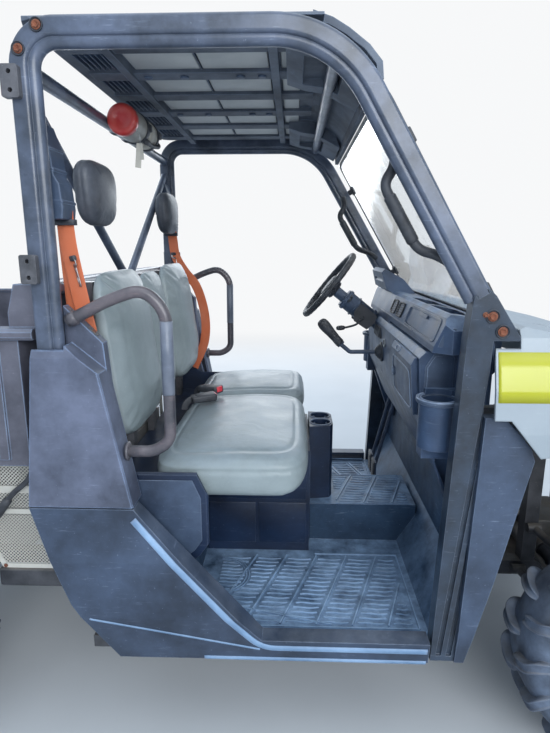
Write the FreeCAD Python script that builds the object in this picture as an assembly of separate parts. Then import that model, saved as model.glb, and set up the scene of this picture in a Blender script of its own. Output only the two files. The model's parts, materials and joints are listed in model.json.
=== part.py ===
import FreeCAD, Part
import math
import os

# Side by side utility vehicle, in millimetres.
# +X forward, +Y to the driver's left, +Z up, origin on the ground below the middle of the box.

os.makedirs("parts", exist_ok=True)
V = FreeCAD.Vector

# overall sizes
nose_x = 1536.0              # front face of the fascia
front_axle_x = nose_x - 366.0
rear_axle_x = -1120.0
touch = 0.3                 # running gap between pieces that meet

# wheels
tyre_radius = 343.0
lug_height = 20.0
lug_count = 16              # in each of the two rows
rim_radius = 178.0
rim_wall = 6.0
front_tyre_width = 229.0
rear_tyre_width = 254.0
front_wheel_y = 685.0
rear_wheel_y = 672.0
wheel_disc_gap = 5.0        # wheel disc outboard of the tyre's middle
wheel_disc_thick = 12.0
hub_radius = 46.0
kingpin_y = 610.0
ball_up = 100.0             # ball joints above and below the axle
ball_down = 110.0

# frame
rail_y = (205.0, 255.0)
rail_top = 352.0
rail_deep = 50.0
rail_rear = -1446.0
rail_front = nose_x - 110.0
cross_wide = 50.0
upper_rail_top = 880.0
upper_rail_deep = 40.0
post_wide = 50.0
skid_thick = 6.0

# cab
cab_side_y = 752.0          # outer face of the side panels
post_y = (692.0, 740.0)     # lower front posts
sill_bottom = 317.0
sill_top = 395.0
floor_top = 360.0
floor_thick = 8.0
tunnel_y = 140.0
tunnel_top = 514.0
firewall_x = 708.0
hoop_y = 715.0              # middle of the roll cage tubes
hoop_deep = 50.0
hoop_wide = 44.0
panel_wall = cab_side_y - hoop_y - hoop_deep / 2 - touch
bead_radius = 17.0
rear_pillar_x = -473.0
cage_top = 2022.0
pillar_foot = (645.0, 1385.0)
pillar_bend_x = 278.0
seat_y = 620.0
seat_split_y = 150.0
seat_under = 768.0
seat_top = seat_under + 137.0

# load bed
bed_x = (-1586.0, -562.0)
bed_y = 700.0
bed_under = 900.0
bed_floor = 935.0
bed_top = 1292.0
bed_head_top = 1407.0
bed_wall = 30.0
bed_lip_x = -513.0          # the lip and the head reach further forward than the tub
gate_thick = 34.0


def mirror_y(shape):
    return shape.mirror(V(0, 0, 0), V(0, 1, 0))


def block(x, y, z):
    return Part.makeBox(x[1] - x[0], y[1] - y[0], z[1] - z[0], V(x[0], y[0], z[0]))


def face_of(points):
    return Part.Face(Part.makePolygon(points + [points[0]]))


def side_prism(outline, y0, y1):
    return face_of([V(x, y0, z) for x, z in outline]).extrude(V(0, y1 - y0, 0))


def front_prism(outline, x0, x1):
    return face_of([V(x0, y, z) for y, z in outline]).extrude(V(x1 - x0, 0, 0))


def plan_prism(outline, z0, z1):
    return face_of([V(x, y, z0) for x, y in outline]).extrude(V(0, 0, z1 - z0))


def rod(start, end, radius):
    axis = end - start
    return Part.makeCylinder(radius, axis.Length, start, axis)


def join(shapes):
    return shapes[0].multiFuse(shapes[1:]).removeSplitter() if len(shapes) > 1 else shapes[0]


def inset(outline, wall):
    """The outline moved inwards by a wall, as a face in the plane y = 0."""
    return face_of([V(x, 0, z) for x, z in outline]).makeOffset2D(-wall)


def edges_along(shape, axis, low=None, high=None, at=None):
    """Straight edges along x, y or z whose middle lies between two corners."""
    picked = []
    for edge in shape.Edges:
        if not isinstance(edge.Curve, Part.Line):
            continue
        run = edge.Vertexes[-1].Point - edge.Vertexes[0].Point
        if abs(abs(getattr(run, axis)) - run.Length) > 0.01:
            continue
        middle = edge.CenterOfMass
        if low and not (middle.x > low[0] and middle.y > low[1] and middle.z > low[2]):
            continue
        if high and not (middle.x < high[0] and middle.y < high[1] and middle.z < high[2]):
            continue
        picked.append(edge)
    return picked


def bent_path(points, bends):
    """Straight runs joined by tangent arcs, one radius for each corner."""
    edges = []
    start = points[0]
    for before, corner, after, bend in zip(points, points[1:], points[2:], bends):
        back = (before - corner).normalize()
        ahead = (after - corner).normalize()
        half = back.getAngle(ahead) / 2
        cut = bend / math.tan(half)
        enter = corner + back * cut
        leave = corner + ahead * cut
        inward = (back + ahead).normalize()
        middle = corner + inward * (bend / math.sin(half) - bend)
        edges.append(Part.LineSegment(start, enter).toShape())
        edges.append(Part.Arc(enter, middle, leave).toShape())
        start = leave
    edges.append(Part.LineSegment(start, points[-1]).toShape())
    return Part.Wire(edges)


def tube(points, radius, bend):
    path = bent_path(points, [bend] * (len(points) - 2))
    ring = Part.Wire(Part.makeCircle(radius, points[0], points[1] - points[0]))
    return path.makePipeShell([ring], True, False)


def revolve_y(profile, x, z):
    """A closed profile of (radius, y) points or edges turned about a line along Y."""
    face = face_of([V(x, y, z + r) for r, y in profile])
    return face.revolve(V(x, 0, z), V(0, 1, 0), 360)


def save(name, *shapes):
    shape = shapes[0] if len(shapes) == 1 else Part.makeCompound(list(shapes))
    shape.exportStep("parts/%s.step" % name)
    solids = shape.Solids
    print(name, len(solids), [round(s.Volume / 1e6, 3) for s in solids], all(s.isValid() for s in solids))


def both_sides(shape):
    return [shape, mirror_y(shape)]


# tyres: a faceted carcass with two staggered rows of deep angled lugs

def tyre(width):
    half = width / 2
    tread = tyre_radius - lug_height
    stations = 2 * lug_count
    flat = 360.0 / stations
    bore = rim_radius / math.cos(math.radians(flat / 2))
    bead = half - 22
    # half section: (radius, distance from the tyre's middle), bead to crown
    section = [(bore, bead), (rim_radius + 78, half - 1), (tread - 16, half - 14), (tread, 0)]
    section += [(r, -y) for r, y in reversed(section[:-1])]
    rings = []
    for i in range(stations):
        a = math.radians((i + 0.5) * flat)
        rings.append([V(r * math.sin(a), y, r * math.cos(a)) for r, y in section])
    faces = []
    for i in range(stations):
        here = rings[i]
        after = rings[(i + 1) % stations]
        for k in range(len(section)):
            n = (k + 1) % len(section)
            faces.append(face_of([here[k], here[n], after[n], after[k]]))
    carcass = Part.Solid(Part.Shell(faces))
    if carcass.Volume < 0:
        carcass.reverse()
    # lug outline in plan: (along the tread, across it), from the middle out over the shoulder
    lug_plan = [(-30, 6), (-4, 6), (26, half - 4), (-10, half - 4)]
    root = tread - 36
    lug = face_of([V(s, y, root) for s, y in lug_plan]).extrude(V(0, 0, tyre_radius - root))
    slope = front_prism([(half - 36, tyre_radius + 1), (half + 9, tyre_radius - 24), (half + 9, tyre_radius + 1)], -60, 60)
    lug = lug.cut(slope)
    lugs = []
    for i in range(lug_count):
        one = lug.copy()
        one.rotate(V(0, 0, 0), V(0, 1, 0), 2 * i * flat)
        other = mirror_y(lug)
        other.rotate(V(0, 0, 0), V(0, 1, 0), (2 * i + 1) * flat)
        lugs += [one, other]
    return carcass.multiFuse(lugs)


def rim(width, disc_inner_y):
    """Outboard is +Y; disc_inner_y is the mounting face, measured from the tyre's middle."""
    half = width / 2 - 22
    r = rim_radius - touch
    barrel = revolve_y([(r, -half), (r, half), (r - rim_wall - 6, half), (r - rim_wall, half - 10),
                        (r - rim_wall, -half + 10), (r - rim_wall - 6, -half)], 0, 0)
    outer = r - rim_wall + 1
    web_y = disc_inner_y + 16
    disc = revolve_y([(0, disc_inner_y), (62, disc_inner_y), (88, web_y), (outer, web_y), (outer, web_y + 8),
                      (86, web_y + 8), (60, disc_inner_y + wheel_disc_thick), (34, disc_inner_y + wheel_disc_thick),
                      (34, disc_inner_y + 40), (0, disc_inner_y + 40)], 0, 0)
    windows = []
    for i in range(8):
        hole = rod(V(0, disc_inner_y, 130), V(0, disc_inner_y + 60, 130), 24)
        hole.rotate(V(0, 0, 0), V(0, 1, 0), 45 * i + 22.5)
        windows.append(hole)
    studs = []
    for i in range(4):
        stud = rod(V(0, disc_inner_y + wheel_disc_thick - 1, 48), V(0, disc_inner_y + wheel_disc_thick + 16, 48), 10)
        stud.rotate(V(0, 0, 0), V(0, 1, 0), 90 * i)
        studs.append(stud)
    return join([barrel, disc.cut(Part.makeCompound(windows))] + studs)


front_tyre = tyre(front_tyre_width)
rear_tyre = tyre(rear_tyre_width)
front_rim = rim(front_tyre_width, wheel_disc_gap + touch)
rear_rim = rim(rear_tyre_width, wheel_disc_gap + 15 + touch)
for name, x, y, tyre_shape, rim_shape in [
        ("front", front_axle_x, front_wheel_y, front_tyre, front_rim),
        ("rear", rear_axle_x, rear_wheel_y, rear_tyre, rear_rim)]:
    left_tyre = tyre_shape.translated(V(x, y, tyre_radius))
    left_rim = rim_shape.translated(V(x, y, tyre_radius))
    save("tyre_%s_left" % name, left_tyre)
    save("tyre_%s_right" % name, mirror_y(left_tyre))
    save("rim_%s_left" % name, left_rim)
    save("rim_%s_right" % name, mirror_y(left_rim))


# frame: rails, cross members, posts and upper rails

rail_low = rail_top - rail_deep
rail = block((rail_rear, rail_front), rail_y, (rail_low, rail_top))
for x in (front_axle_x, rear_axle_x):
    rail = rail.cut(block((x - 45, x + 45), rail_y, (rail_low + 18, rail_top)))
save("frame_rails", *both_sides(rail))

cross_members = []
for x in (rail_rear + 25, -1290, -640, -60, 560, 900, rail_front - 25):
    cross_members.append(block((x - cross_wide / 2, x + cross_wide / 2), (-rail_y[0], rail_y[0]),
                               (rail_low + 4, rail_top - 6)))
for x, end_y in ((-400, 700 - touch), (60, 700 - touch), (612, post_y[0] - touch)):
    cross_members += both_sides(block((x - cross_wide / 2, x + cross_wide / 2), (rail_y[1], end_y),
                                      (rail_low + 12, rail_top)))
save("frame_crossmembers", *cross_members)

post_low = rail_top
rear_post_top = upper_rail_top - upper_rail_deep
front_rail_top = 812.0
front_rail_low = front_rail_top - 36
frame_posts = []
for x in (rail_rear + 60, rear_axle_x - 110, rear_axle_x + 110, -640):
    frame_posts += both_sides(block((x - post_wide / 2, x + post_wide / 2), rail_y, (post_low, rear_post_top)))
for x in (front_axle_x - 110, front_axle_x + 110, rail_front - 25):
    frame_posts += both_sides(block((x - post_wide / 2, x + post_wide / 2), rail_y, (post_low, front_rail_low)))
save("frame_posts", *frame_posts)

frame_upper = both_sides(block((rail_rear + 5, -575), rail_y, (rear_post_top, upper_rail_top)))
frame_upper += both_sides(block((745, rail_front), rail_y, (front_rail_low, front_rail_top)))
save("frame_upper_rails", *frame_upper)

skid = block((-720, rail_front), (-rail_y[1], rail_y[1]), (rail_low - skid_thick, rail_low))
slots = []
for x in (-500, -200, 250, 700):
    slots.append(block((x, x + 90), (-90, 90), (rail_low - 20, rail_low + 20)))
save("skid_plate", skid.cut(Part.makeCompound(slots)))


# floor: a moulded tray with a central tunnel and a sloping toe board

floor_under = floor_top - floor_thick
tray_y = 690.0
tray = side_prism([(-160, floor_under), (596, floor_under), (700, 516), (firewall_x, 800), (firewall_x - 8, 800),
                   (690, 519), (591, floor_top), (-152, floor_top), (-152, 560), (-160, 560)], -tray_y, tray_y)
tunnel_box = block((-152, 660), (-tunnel_y, tunnel_y), (floor_under, tunnel_top))
tunnel_hollow = block((-170, 652), (-tunnel_y + 8, tunnel_y - 8), (floor_under - 5, tunnel_top - 8))
toe_side = side_prism([(591, floor_top), (690, 519), (firewall_x - 8, 800), (720, 800), (720, 340), (591, 340)],
                      -tunnel_y, tunnel_y)
floor_pan = tray.fuse(tunnel_box.cut(toe_side)).cut(tunnel_hollow).removeSplitter()
ribs = both_sides(block((-120, 560), (tray_y - 22, tray_y - 8), (floor_top - 1, floor_top + 9)))
save("floor_pan", join([floor_pan] + ribs))


# seat base: a central pedestal, two rear boxes and the cup console in front

pedestal = block((-150, 240), (-225, 225), (tunnel_top, seat_under))
pedestal = pedestal.fuse(block((-150, 240), (tunnel_y + 2, 225), (floor_top, tunnel_top)))
pedestal = pedestal.fuse(block((-150, 240), (-225, -tunnel_y - 2), (floor_top, tunnel_top)))
rear_box = block((-420, -150), (-640, 640), (560, seat_under))
rear_box = rear_box.cut(block((-430, -162), (-628, 628), (550, seat_under - 12)))
trim_top = seat_under + 94
side_trim_outline = [(-420, 560), (-150, 560), (-100, 600), (-72, 640), (-72, trim_top - 72), (-105, trim_top),
                     (-300, trim_top), (-340, trim_top + 18), (-420, trim_top + 18)]
trim_y = 652.0
side_trim = side_prism(side_trim_outline, 640, trim_y)
trim_edges = [e for e in edges_along(side_trim, "x") + edges_along(side_trim, "z")
              if e.CenterOfMass.y > trim_y - 0.1 and e.CenterOfMass.x > -419]
side_trim = both_sides(side_trim.makeChamfer(5, trim_edges))
console = plan_prism([(240, -100), (322, -84), (334, -60), (334, 60), (322, 84), (240, 100)], tunnel_top, seat_under + 52)
cups = [rod(V(286, y, seat_under - 28), V(286, y, seat_under + 132), 38) for y in (-42, 42)]
pedestal = pedestal.removeSplitter()
seat_base = join([pedestal, rear_box] + side_trim + [console]).cut(Part.makeCompound(cups))
save("seat_base", seat_base)


# side panels of the cab

pillar_hole_x = (rear_pillar_x - 48, rear_pillar_x + 52)


def moulded_panel(outline, section, wall, inner_y):
    """A panel's side outline cut to a cross section, hollow from the inside."""
    body = side_prism(outline, inner_y, 800).common(front_prism(section, -900, 900))
    hollow_face = inset(outline, wall)
    hollow_face.translate(V(0, inner_y - 10, 0))
    hollow = hollow_face.extrude(V(0, 220, 0))
    shifted = [(y - wall if y > inner_y + 1 else inner_y - 10, z) for y, z in section]
    hollow = hollow.common(front_prism(shifted, -900, 900))
    return body.cut(hollow)


tower_outline = [(-553, 802), (-504, 1258), (-436, 1266), (-332, 1180), (-262, 802)]
tower_section = [(668, 780), (cab_side_y, 780), (cab_side_y, 1222), (734, 1272), (668, 1272)]
tower = moulded_panel(tower_outline, tower_section, panel_wall, 668)
pillar_slot = block(pillar_hole_x, (660, 744), (1200, 1300))
tower = tower.cut(pillar_slot)
tower_edges = [e for e in tower.Edges if e.CenterOfMass.y > cab_side_y - 0.1 and e.CenterOfMass.x > -430
               and e.BoundBox.ZLength > 100]
tower = tower.makeChamfer(4, tower_edges)
inner_outline = [(-436, 802), (-436, 1352), (-336, 1252), (-313, 919), (-285, 802)]
inner_y = hoop_y - hoop_deep / 2 - touch
inner_tower = side_prism(inner_outline, 656, inner_y)
inner_tower = inner_tower.cut(side_prism([(-445, 795), (-445, 1320), (-344, 1246), (-321, 919), (-293, 795)], 650, 676))
save("rear_side_panels", *both_sides(join([tower, inner_tower])))

rocker_outline = [(-553, 798), (-262, 798), (90, sill_top), (572, sill_top), (572, sill_bottom + 6),
                  (-331, sill_bottom), (-450, 510)]
rocker_section = [(700, 300), (738, 300), (763, 428), (772, 470), (772, 645), (cab_side_y, 800), (700, 800)]
rocker = moulded_panel(rocker_outline, rocker_section, panel_wall, 700)
save("rocker_panels", *both_sides(rocker))

front_panel_outline = [(645 + touch, 330), (672, 330), (735, 600), (808, 955), (796, 990), (722, 1072), (671 + touch, 1072)]
front_panel_section = [(700, 300), (744, 300), (cab_side_y, 420), (cab_side_y, 1100), (700, 1100)]
front_side = moulded_panel(front_panel_outline, front_panel_section, 8, 712)
save("front_side_panels", *both_sides(front_side))


# roll cage: two side hoops with a beaded profile, cross tubes and a V brace

def hoop_profile(at):
    """Closed section at the foot of the rear pillar: a rounded bar with a bead towards the opening."""
    bar = block((at.x - hoop_wide / 2, at.x + hoop_wide / 2), (at.y - hoop_deep / 2, at.y + hoop_deep / 2),
                (at.z - 10, at.z + 10))
    bar = bar.makeFillet(9, edges_along(bar, "z"))
    bead_x = at.x + hoop_wide / 2 + bead_radius - 11
    bead = rod(V(bead_x, at.y, at.z - 10), V(bead_x, at.y, at.z + 10), bead_radius)
    slice_wires = bar.fuse(bead).removeSplitter().slice(V(0, 0, 1), at.z)
    return slice_wires[0]


hoop_foot_z = 840.0
hoop_line = [V(rear_pillar_x, hoop_y, hoop_foot_z), V(rear_pillar_x, hoop_y, cage_top - hoop_wide / 2)]
front_top = V(pillar_bend_x, hoop_y, cage_top - hoop_wide / 2)
foot = V(pillar_foot[0], hoop_y, pillar_foot[1])


hoop_path = bent_path(hoop_line + [front_top, foot], (88.0, 282.0))
hoop = hoop_path.makePipeShell([hoop_profile(hoop_line[0])], True, False)
save("rops_side_hoops", *both_sides(hoop))

cross_y = hoop_y - hoop_deep / 2
cross_r = 19.0
rear_cross_z = cage_top - 102
mid_cross_z = cage_top - 627
brace_top_z = cage_top - 172
rear_cross = rod(V(rear_pillar_x, -cross_y, rear_cross_z), V(rear_pillar_x, cross_y, rear_cross_z), cross_r)
front_cross = rod(V(pillar_bend_x - 2, -cross_y, cage_top - 54), V(pillar_bend_x - 2, cross_y, cage_top - 54), cross_r)
mid_cross = rod(V(rear_pillar_x, -cross_y, mid_cross_z), V(rear_pillar_x, cross_y, mid_cross_z), cross_r)
v_brace = [rod(V(rear_pillar_x, 25, mid_cross_z), V(rear_pillar_x, cross_y - 9, brace_top_z), 15)]
v_brace.append(mirror_y(v_brace[0]))
mid_frame = join([mid_cross] + v_brace)
save("rops_cross_members", rear_cross, front_cross, mid_frame)

a_post_outline = [(612, 1272), (622, 1384), (655, 1404), (676, 1385), (745, 1280), (743, 1272), (678, 1272),
                  (645, 330), (578, 330)]
post_grooves = [side_prism([(x, 346), (x + 15, 346), (x + 103, 1250), (x + 88, 1250)], post_y[1] - 9, post_y[1] + 1)
                for x in (593, 622)]
a_post = side_prism(a_post_outline, *post_y).cut(Part.makeCompound([hoop] + post_grooves))
save("rops_front_posts", *both_sides(a_post))

door_brackets = []
for z in (cage_top - 574, cage_top - 144):
    bracket = block((rear_pillar_x - 34, rear_pillar_x + 8), (hoop_y + hoop_deep / 2, hoop_y + hoop_deep / 2 + 18),
                    (z - 36, z + 36))
    bracket = bracket.makeFillet(6, edges_along(bracket, "y"))
    for dz in (-20, 20):
        bracket = bracket.cut(rod(V(rear_pillar_x - 13, 700, z + dz), V(rear_pillar_x - 13, 800, z + dz), 5.5))
    door_brackets += both_sides(bracket)
save("door_brackets", *door_brackets)


# roof and windshield

roof_y = 712.0
roof_low = cage_top
roof_rear_x = -482.0
roof_front_x = 240.0
roof = front_prism([(-roof_y, roof_low), (roof_y, roof_low), (roof_y - 4, roof_low + 7), (roof_y - 30, roof_low + 18),
                    (500, roof_low + 26), (-500, roof_low + 26), (30 - roof_y, roof_low + 18), (4 - roof_y, roof_low + 7)],
                   roof_rear_x, roof_front_x)
corner_cuts = both_sides(plan_prism([(roof_rear_x - 1, roof_y + 1), (roof_rear_x + 40, roof_y + 1),
                                     (roof_rear_x + 36, roof_y - 1), (roof_rear_x + 10, roof_y - 13),
                                     (roof_rear_x, roof_y - 40), (roof_rear_x - 1, roof_y - 40)], roof_low - 1, roof_low + 40))
roof = roof.cut(Part.makeCompound(corner_cuts))
brow_outer = [(215, 26), (262, 10), (302, -13), (351, -49), (383, -86), (387, -125)]
brow_inner = [(372, -124), (368, -92), (340, -60), (292, -26), (250, -4), (215, 1)]
brow = side_prism([(x, roof_low + z) for x, z in brow_outer + brow_inner], -672, 672)
ceiling = [block((104, 128), (-670, 670), (roof_low - 26, roof_low + 1)),
           block((-330, -306), (-670, 670), (roof_low - 26, roof_low + 1))]
for y in (-560, -330, -100, 130, 360, 590):
    ceiling.append(block((-440, 235), (y - 34, y + 34), (roof_low - 16, roof_low + 1)))
visor_outline = [(150, 2), (150, -34), (205, -52), (262, -60), (330, -96), (362, -112), (345, -62), (292, -24), (240, 2)]
visor_pods = both_sides(side_prism([(x, roof_low + z) for x, z in visor_outline], 300, 655))
pod_pocket = both_sides(block((196, 300), (360, 600), (roof_low - 110, roof_low - 34)))
cross_channel = rod(V(pillar_bend_x - 2, -cross_y, cage_top - 54), V(pillar_bend_x - 2, cross_y, cage_top - 54),
                    cross_r + touch)
visor_pods = [solid for pod in visor_pods for solid in pod.cut(Part.makeCompound(pod_pocket + [cross_channel])).Solids]
save("roof_panel", join([roof, brow] + ceiling + visor_pods))

glass_thick = 5.0
glass_line = ((742.0, 1300.0), (392.0, cage_top - 129))
run = V(glass_line[1][0] - glass_line[0][0], 0, glass_line[1][1] - glass_line[0][1]).normalize()
normal = V(run.z, 0, -run.x)
glass_points = []
for (x, z), side in ((glass_line[0], 0), (glass_line[1], 0), (glass_line[1], 1), (glass_line[0], 1)):
    glass_points.append((x - normal.x * glass_thick * side, z - normal.z * glass_thick * side))
windshield = side_prism(glass_points, -655, 655)
save("windshield", windshield)


# seats: soft solids, kept plain

def cushion(y0, y1):
    low = seat_under + touch
    outline = [(-262, low), (150, low), (222, low + 26), (232, seat_top - 50), (196, seat_top),
               (-240, seat_top - 12), (-262, seat_top - 40)]
    solid = side_prism(outline, y0, y1)
    return solid.makeFillet(16, edges_along(solid, "y"))


seat_gap = 6.0
save("seat_cushion_passenger", cushion(-seat_y, seat_split_y - seat_gap / 2))
save("seat_cushion_driver", cushion(seat_split_y + seat_gap / 2, seat_y))

back_low = seat_top + 20
back_outline = [(-286, back_low), (-300, back_low + 95), (-330, back_low + 375), (-352, back_low + 495),
                (-376, back_low + 515), (-404, back_low + 500), (-402, back_low + 375), (-392, back_low + 95),
                (-388, back_low)]
seat_backs = []
back_y = 600.0
for y0, y1 in ((-back_y, -seat_split_y - 3), (-seat_split_y + 3, seat_split_y - 3), (seat_split_y + 3, back_y)):
    seat_backs.append(side_prism(back_outline, y0, y1))
save("seat_backs", *seat_backs)

headrest_y = 450.0
headrest_z = cage_top - 367.0
headrest = block((-446, -372), (headrest_y - 115, headrest_y + 115), (headrest_z - 95, headrest_z + 95))
headrest = headrest.makeFillet(30, headrest.Edges)
save("headrests", *both_sides(headrest))

bar_top = mid_cross_z + 10
cross_front_x = rear_pillar_x + cross_r + touch + 0.2
back_bar_outline = [(-420, seat_under + touch), (-395, seat_under + touch), (-388.4, back_low + 5), (-392.4, back_low + 95),
                    (-402.4, back_low + 375), (-404.6, bar_top), (cross_front_x, bar_top), (cross_front_x, bar_top - 20),
                    (-425, bar_top - 65)]
back_bars = []
for y in (255, 515):
    back_bars += both_sides(side_prism(back_bar_outline, y, y + 40))
back_bars.append(side_prism(back_bar_outline, -20, 20))
rest_bracket = block((-457.8, -446 - touch), (headrest_y - 35, headrest_y + 35), (headrest_z - 5, headrest_z + 60))
save("seat_back_frame", *(back_bars + both_sides(rest_bracket)))


# hand rails beside the seats and on the front pillars

hip_y = 706.0
hip_line = [(-419, 1312), (-300, 1372), (-215, 1398), (-158, 1340), (-160, 985), (-205, 952), (-281.5, 952)]
hip = tube([V(x, hip_y, z) for x, z in hip_line], 16, 34)
grip_points = []
# share of the way up the sloping pillar, distance behind its middle, y
for share, back, y in ((0.592, 14, 676.5), (0.511, 33, 672), (0.442, 87, 668), (0.180, 88, 668), (0.158, 41, 670),
                       (0.105, 15, 676.5)):
    on_pillar = foot + (front_top - foot) * share
    grip_points.append(V(on_pillar.x - back, y, on_pillar.z))
grip = tube(grip_points, 13, 20)
save("hip_bars", *both_sides(hip))
save("grab_handles", *both_sides(grip))


# belts: webbing and hardware

retractor_low = cage_top - 422
belt_foot = trim_top + 18 + touch
strap = side_prism([(-440, retractor_low - touch), (-436, retractor_low - touch), (-396, retractor_low - 200),
                    (-352, retractor_low - 370), (-343, belt_foot), (-347, belt_foot), (-356, retractor_low - 370),
                    (-400, retractor_low - 200)], 606, trim_y)
save("seat_belts", *both_sides(strap))
retractor = block((-478, -415), (602, cross_y - touch), (retractor_low, retractor_low + 170))
retractor = retractor.makeFillet(10, edges_along(retractor, "y"))
save("belt_retractors", *both_sides(retractor))
save("belt_buckles", *[block((-214, -150), (y - 17, y + 17), (seat_top - 9.2, seat_top + 30)) for y in (-40, 100)])


# dash with a lidded box, top trays and door side cup holders

dash_y = 640.0
dash_low_y = 545.0
dash_outline = [(548, 1100), (542, 1186), (560, 1204), (565, 1233), (594, 1312), (608, 1321), (640, 1318), (738, 1297),
                (738, 1180), (firewall_x, 1150), (firewall_x, 1100)]
dash_low_outline = [(548, 1100), (firewall_x, 1100), (firewall_x, 800 + touch), (635, 800 + touch), (556, 984)]
dash = side_prism(dash_outline, -dash_y, dash_y).fuse(side_prism(dash_low_outline, -dash_low_y, dash_low_y))
face_top = V(542, 0, 1186)
face_run = V(14, 0, -202).normalize()
face_out = V(face_run.z, 0, -face_run.x)


def on_face(along, out):
    place = face_top + face_run * along + face_out * out
    return (place.x, place.z)


glove_y = (-520.0, -200.0)
glove_box = side_prism([on_face(26, 25), on_face(150, 5), on_face(150, -110), on_face(26, -110)],
                       glove_y[0] + 20, glove_y[1] - 20)
upper_door = side_prism([(556, 1242), (578, 1302), (592, 1297), (570.5, 1238.8)], -575, -190)
upper_gap = side_prism([(560, 1206), (583, 1206), (583, 1216), (560, 1216)], -600, 60)
trays = []
for y0, y1 in ((-560, -330), (-290, -60)):
    trays.append(block((618, 700), (y0, y1), (1262, 1400)))
cup_recess = both_sides(block((528, 652), (dash_low_y, dash_y + 10), (1080, 1215)))
end_slope = both_sides(front_prism([(dash_y - 60, 1345), (dash_y + 10, 1345), (dash_y + 10, 1270)], 400, firewall_x + 40))
end_corner = both_sides(plan_prism([(530, dash_y - 60), (530, dash_y + 10), (620, dash_y + 10)], 1080, 1400))
dash = dash.cut(Part.makeCompound([glove_box, upper_door, upper_gap] + trays + cup_recess + end_slope + end_corner))
pod = side_prism([(548, 1400), (562, 1415), (640, 1372), (690, 1312), (600, 1312), (568, 1330)], 196, 530)
pod = pod.common(front_prism([(196, 1300), (232, 1416), (494, 1416), (530, 1300)], 400, 760))
gauge = side_prism([(540, 1345), (572, 1402), (582, 1397), (550, 1340)], 262, 464)
post_trim = both_sides(side_prism([(650, 1300), (700, 1292), (700, 1090), (660, 1090)], dash_y - 1, post_y[0] - touch))
knee_ends = both_sides(side_prism([(560, 1100), (700, 1100), (699, 800), (694, 700), (690, 660), (663, 683), (556, 984)],
                                  dash_low_y - 1, dash_low_y + 38))
pocket = both_sides(side_prism([(600, 930), (680, 930), (686, 720), (668, 716), (596, 880)], dash_low_y + 12, dash_low_y + 60))
dash = join([dash, pod] + knee_ends + post_trim).cut(Part.makeCompound([gauge] + pocket))
cup_x, cup_y, cup_r = 589.0, 604.0, 54.0
cup = rod(V(cup_x, cup_y, 940), V(cup_x, cup_y, 1078), cup_r)
cup = cup.fuse(block((cup_x - 40, cup_x + 50), (dash_low_y - 1, cup_y), (900, 1070)))
bore = rod(V(cup_x, cup_y, 952), V(cup_x, cup_y, 1120), cup_r - 7)
dash = join([dash] + both_sides(cup)).cut(Part.makeCompound(both_sides(bore)))
save("dash", dash)
lid_outline = [on_face(4, touch), on_face(180, touch), on_face(180, 16), on_face(24, 20), on_face(4, 8)]
lid = side_prism(lid_outline, *glove_y)
save("glove_box_lid", lid)
glove_hinge = on_face(180, 8)


# steering: wheel, column and the driver's small controls

wheel_center = V(334, 360, 1337)
column_tilt = math.radians(38.7)
wheel_axis = V(-math.cos(column_tilt), 0, math.sin(column_tilt))
wheel_radius = 165.0
grip_r = 14.0
ring_section = [V(wheel_radius + grip_r * math.cos(a), 0, grip_r * math.sin(a))
                for a in [math.radians(22.5 + 45 * i) for i in range(8)]]
ring = face_of(ring_section).revolve(V(0, 0, 0), V(0, 0, 1), 360)
ring.Placement = FreeCAD.Placement(wheel_center, FreeCAD.Rotation(V(0, 0, 1), wheel_axis))
boss = rod(wheel_center - wheel_axis * 42, wheel_center - wheel_axis * 2, 42)
spokes = []
across = V(0, 1, 0)
up = wheel_axis.cross(across)
for angle in (0, 180, 270):
    a = math.radians(angle)
    tip = wheel_center + across * (math.cos(a) * (wheel_radius - 6)) - up * (math.sin(a) * (wheel_radius - 6))
    spokes.append(rod(wheel_center - wheel_axis * 22, tip, 11))
save("steering_wheel", join([ring, boss] + spokes))
column_top = wheel_center - wheel_axis * (42 + touch)
column_end = wheel_center - wheel_axis * 300
column = rod(column_top, column_end, 24)
jacket = rod(wheel_center - wheel_axis * 90, wheel_center - wheel_axis * 256, 42)
column = column.fuse(jacket).removeSplitter()
column = column.cut(dash)
biggest = max(column.Solids, key=lambda solid: solid.Volume)
save("steering_column", biggest)

lever = tube([V(294, 150, 1196), V(381, 150, 1098), V(415, 150, 1070), V(560, 150, 1072)], 9, 20)
knob = rod(V(290, 150, 1200), V(378, 150, 1101), 17)
lever = lever.fuse(knob).cut(dash)
lever = max(lever.Solids, key=lambda solid: solid.Volume)
pedals = []
for y in (300, 400):
    pad = block((560, 568), (y - 36, y + 36), (430, 520))
    stem = rod(V(568, y, 500), V(644, y, 815), 8)
    pedals.append(join([pad, stem]).cut(dash).Solids[0])
save("driver_controls", *([lever] + pedals))


# front body: fenders, hood, fascia and lamps

hood_y = 430.0
fascia_x = (nose_x - 40, nose_x)
hood_hinge = (nose_x + 9.8, 1012.0)
hood_rear_x = 762.0
hood_bend_x = (hood_rear_x + 0.22 * (nose_x - hood_rear_x), hood_rear_x + 0.66 * (nose_x - hood_rear_x))
hood_top = [(hood_rear_x, 1296), (hood_bend_x[0], 1272), (hood_bend_x[1], 1196), (nose_x - 40, 1092), (nose_x + 6, 1040)]
fender_front_x = fascia_x[0] - touch
fender_top = [(684, 1268), (hood_rear_x, 1306), (hood_bend_x[0], 1270), (hood_bend_x[1], 1190), (nose_x - 70, 1094),
              (fender_front_x, 1060)]


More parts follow.
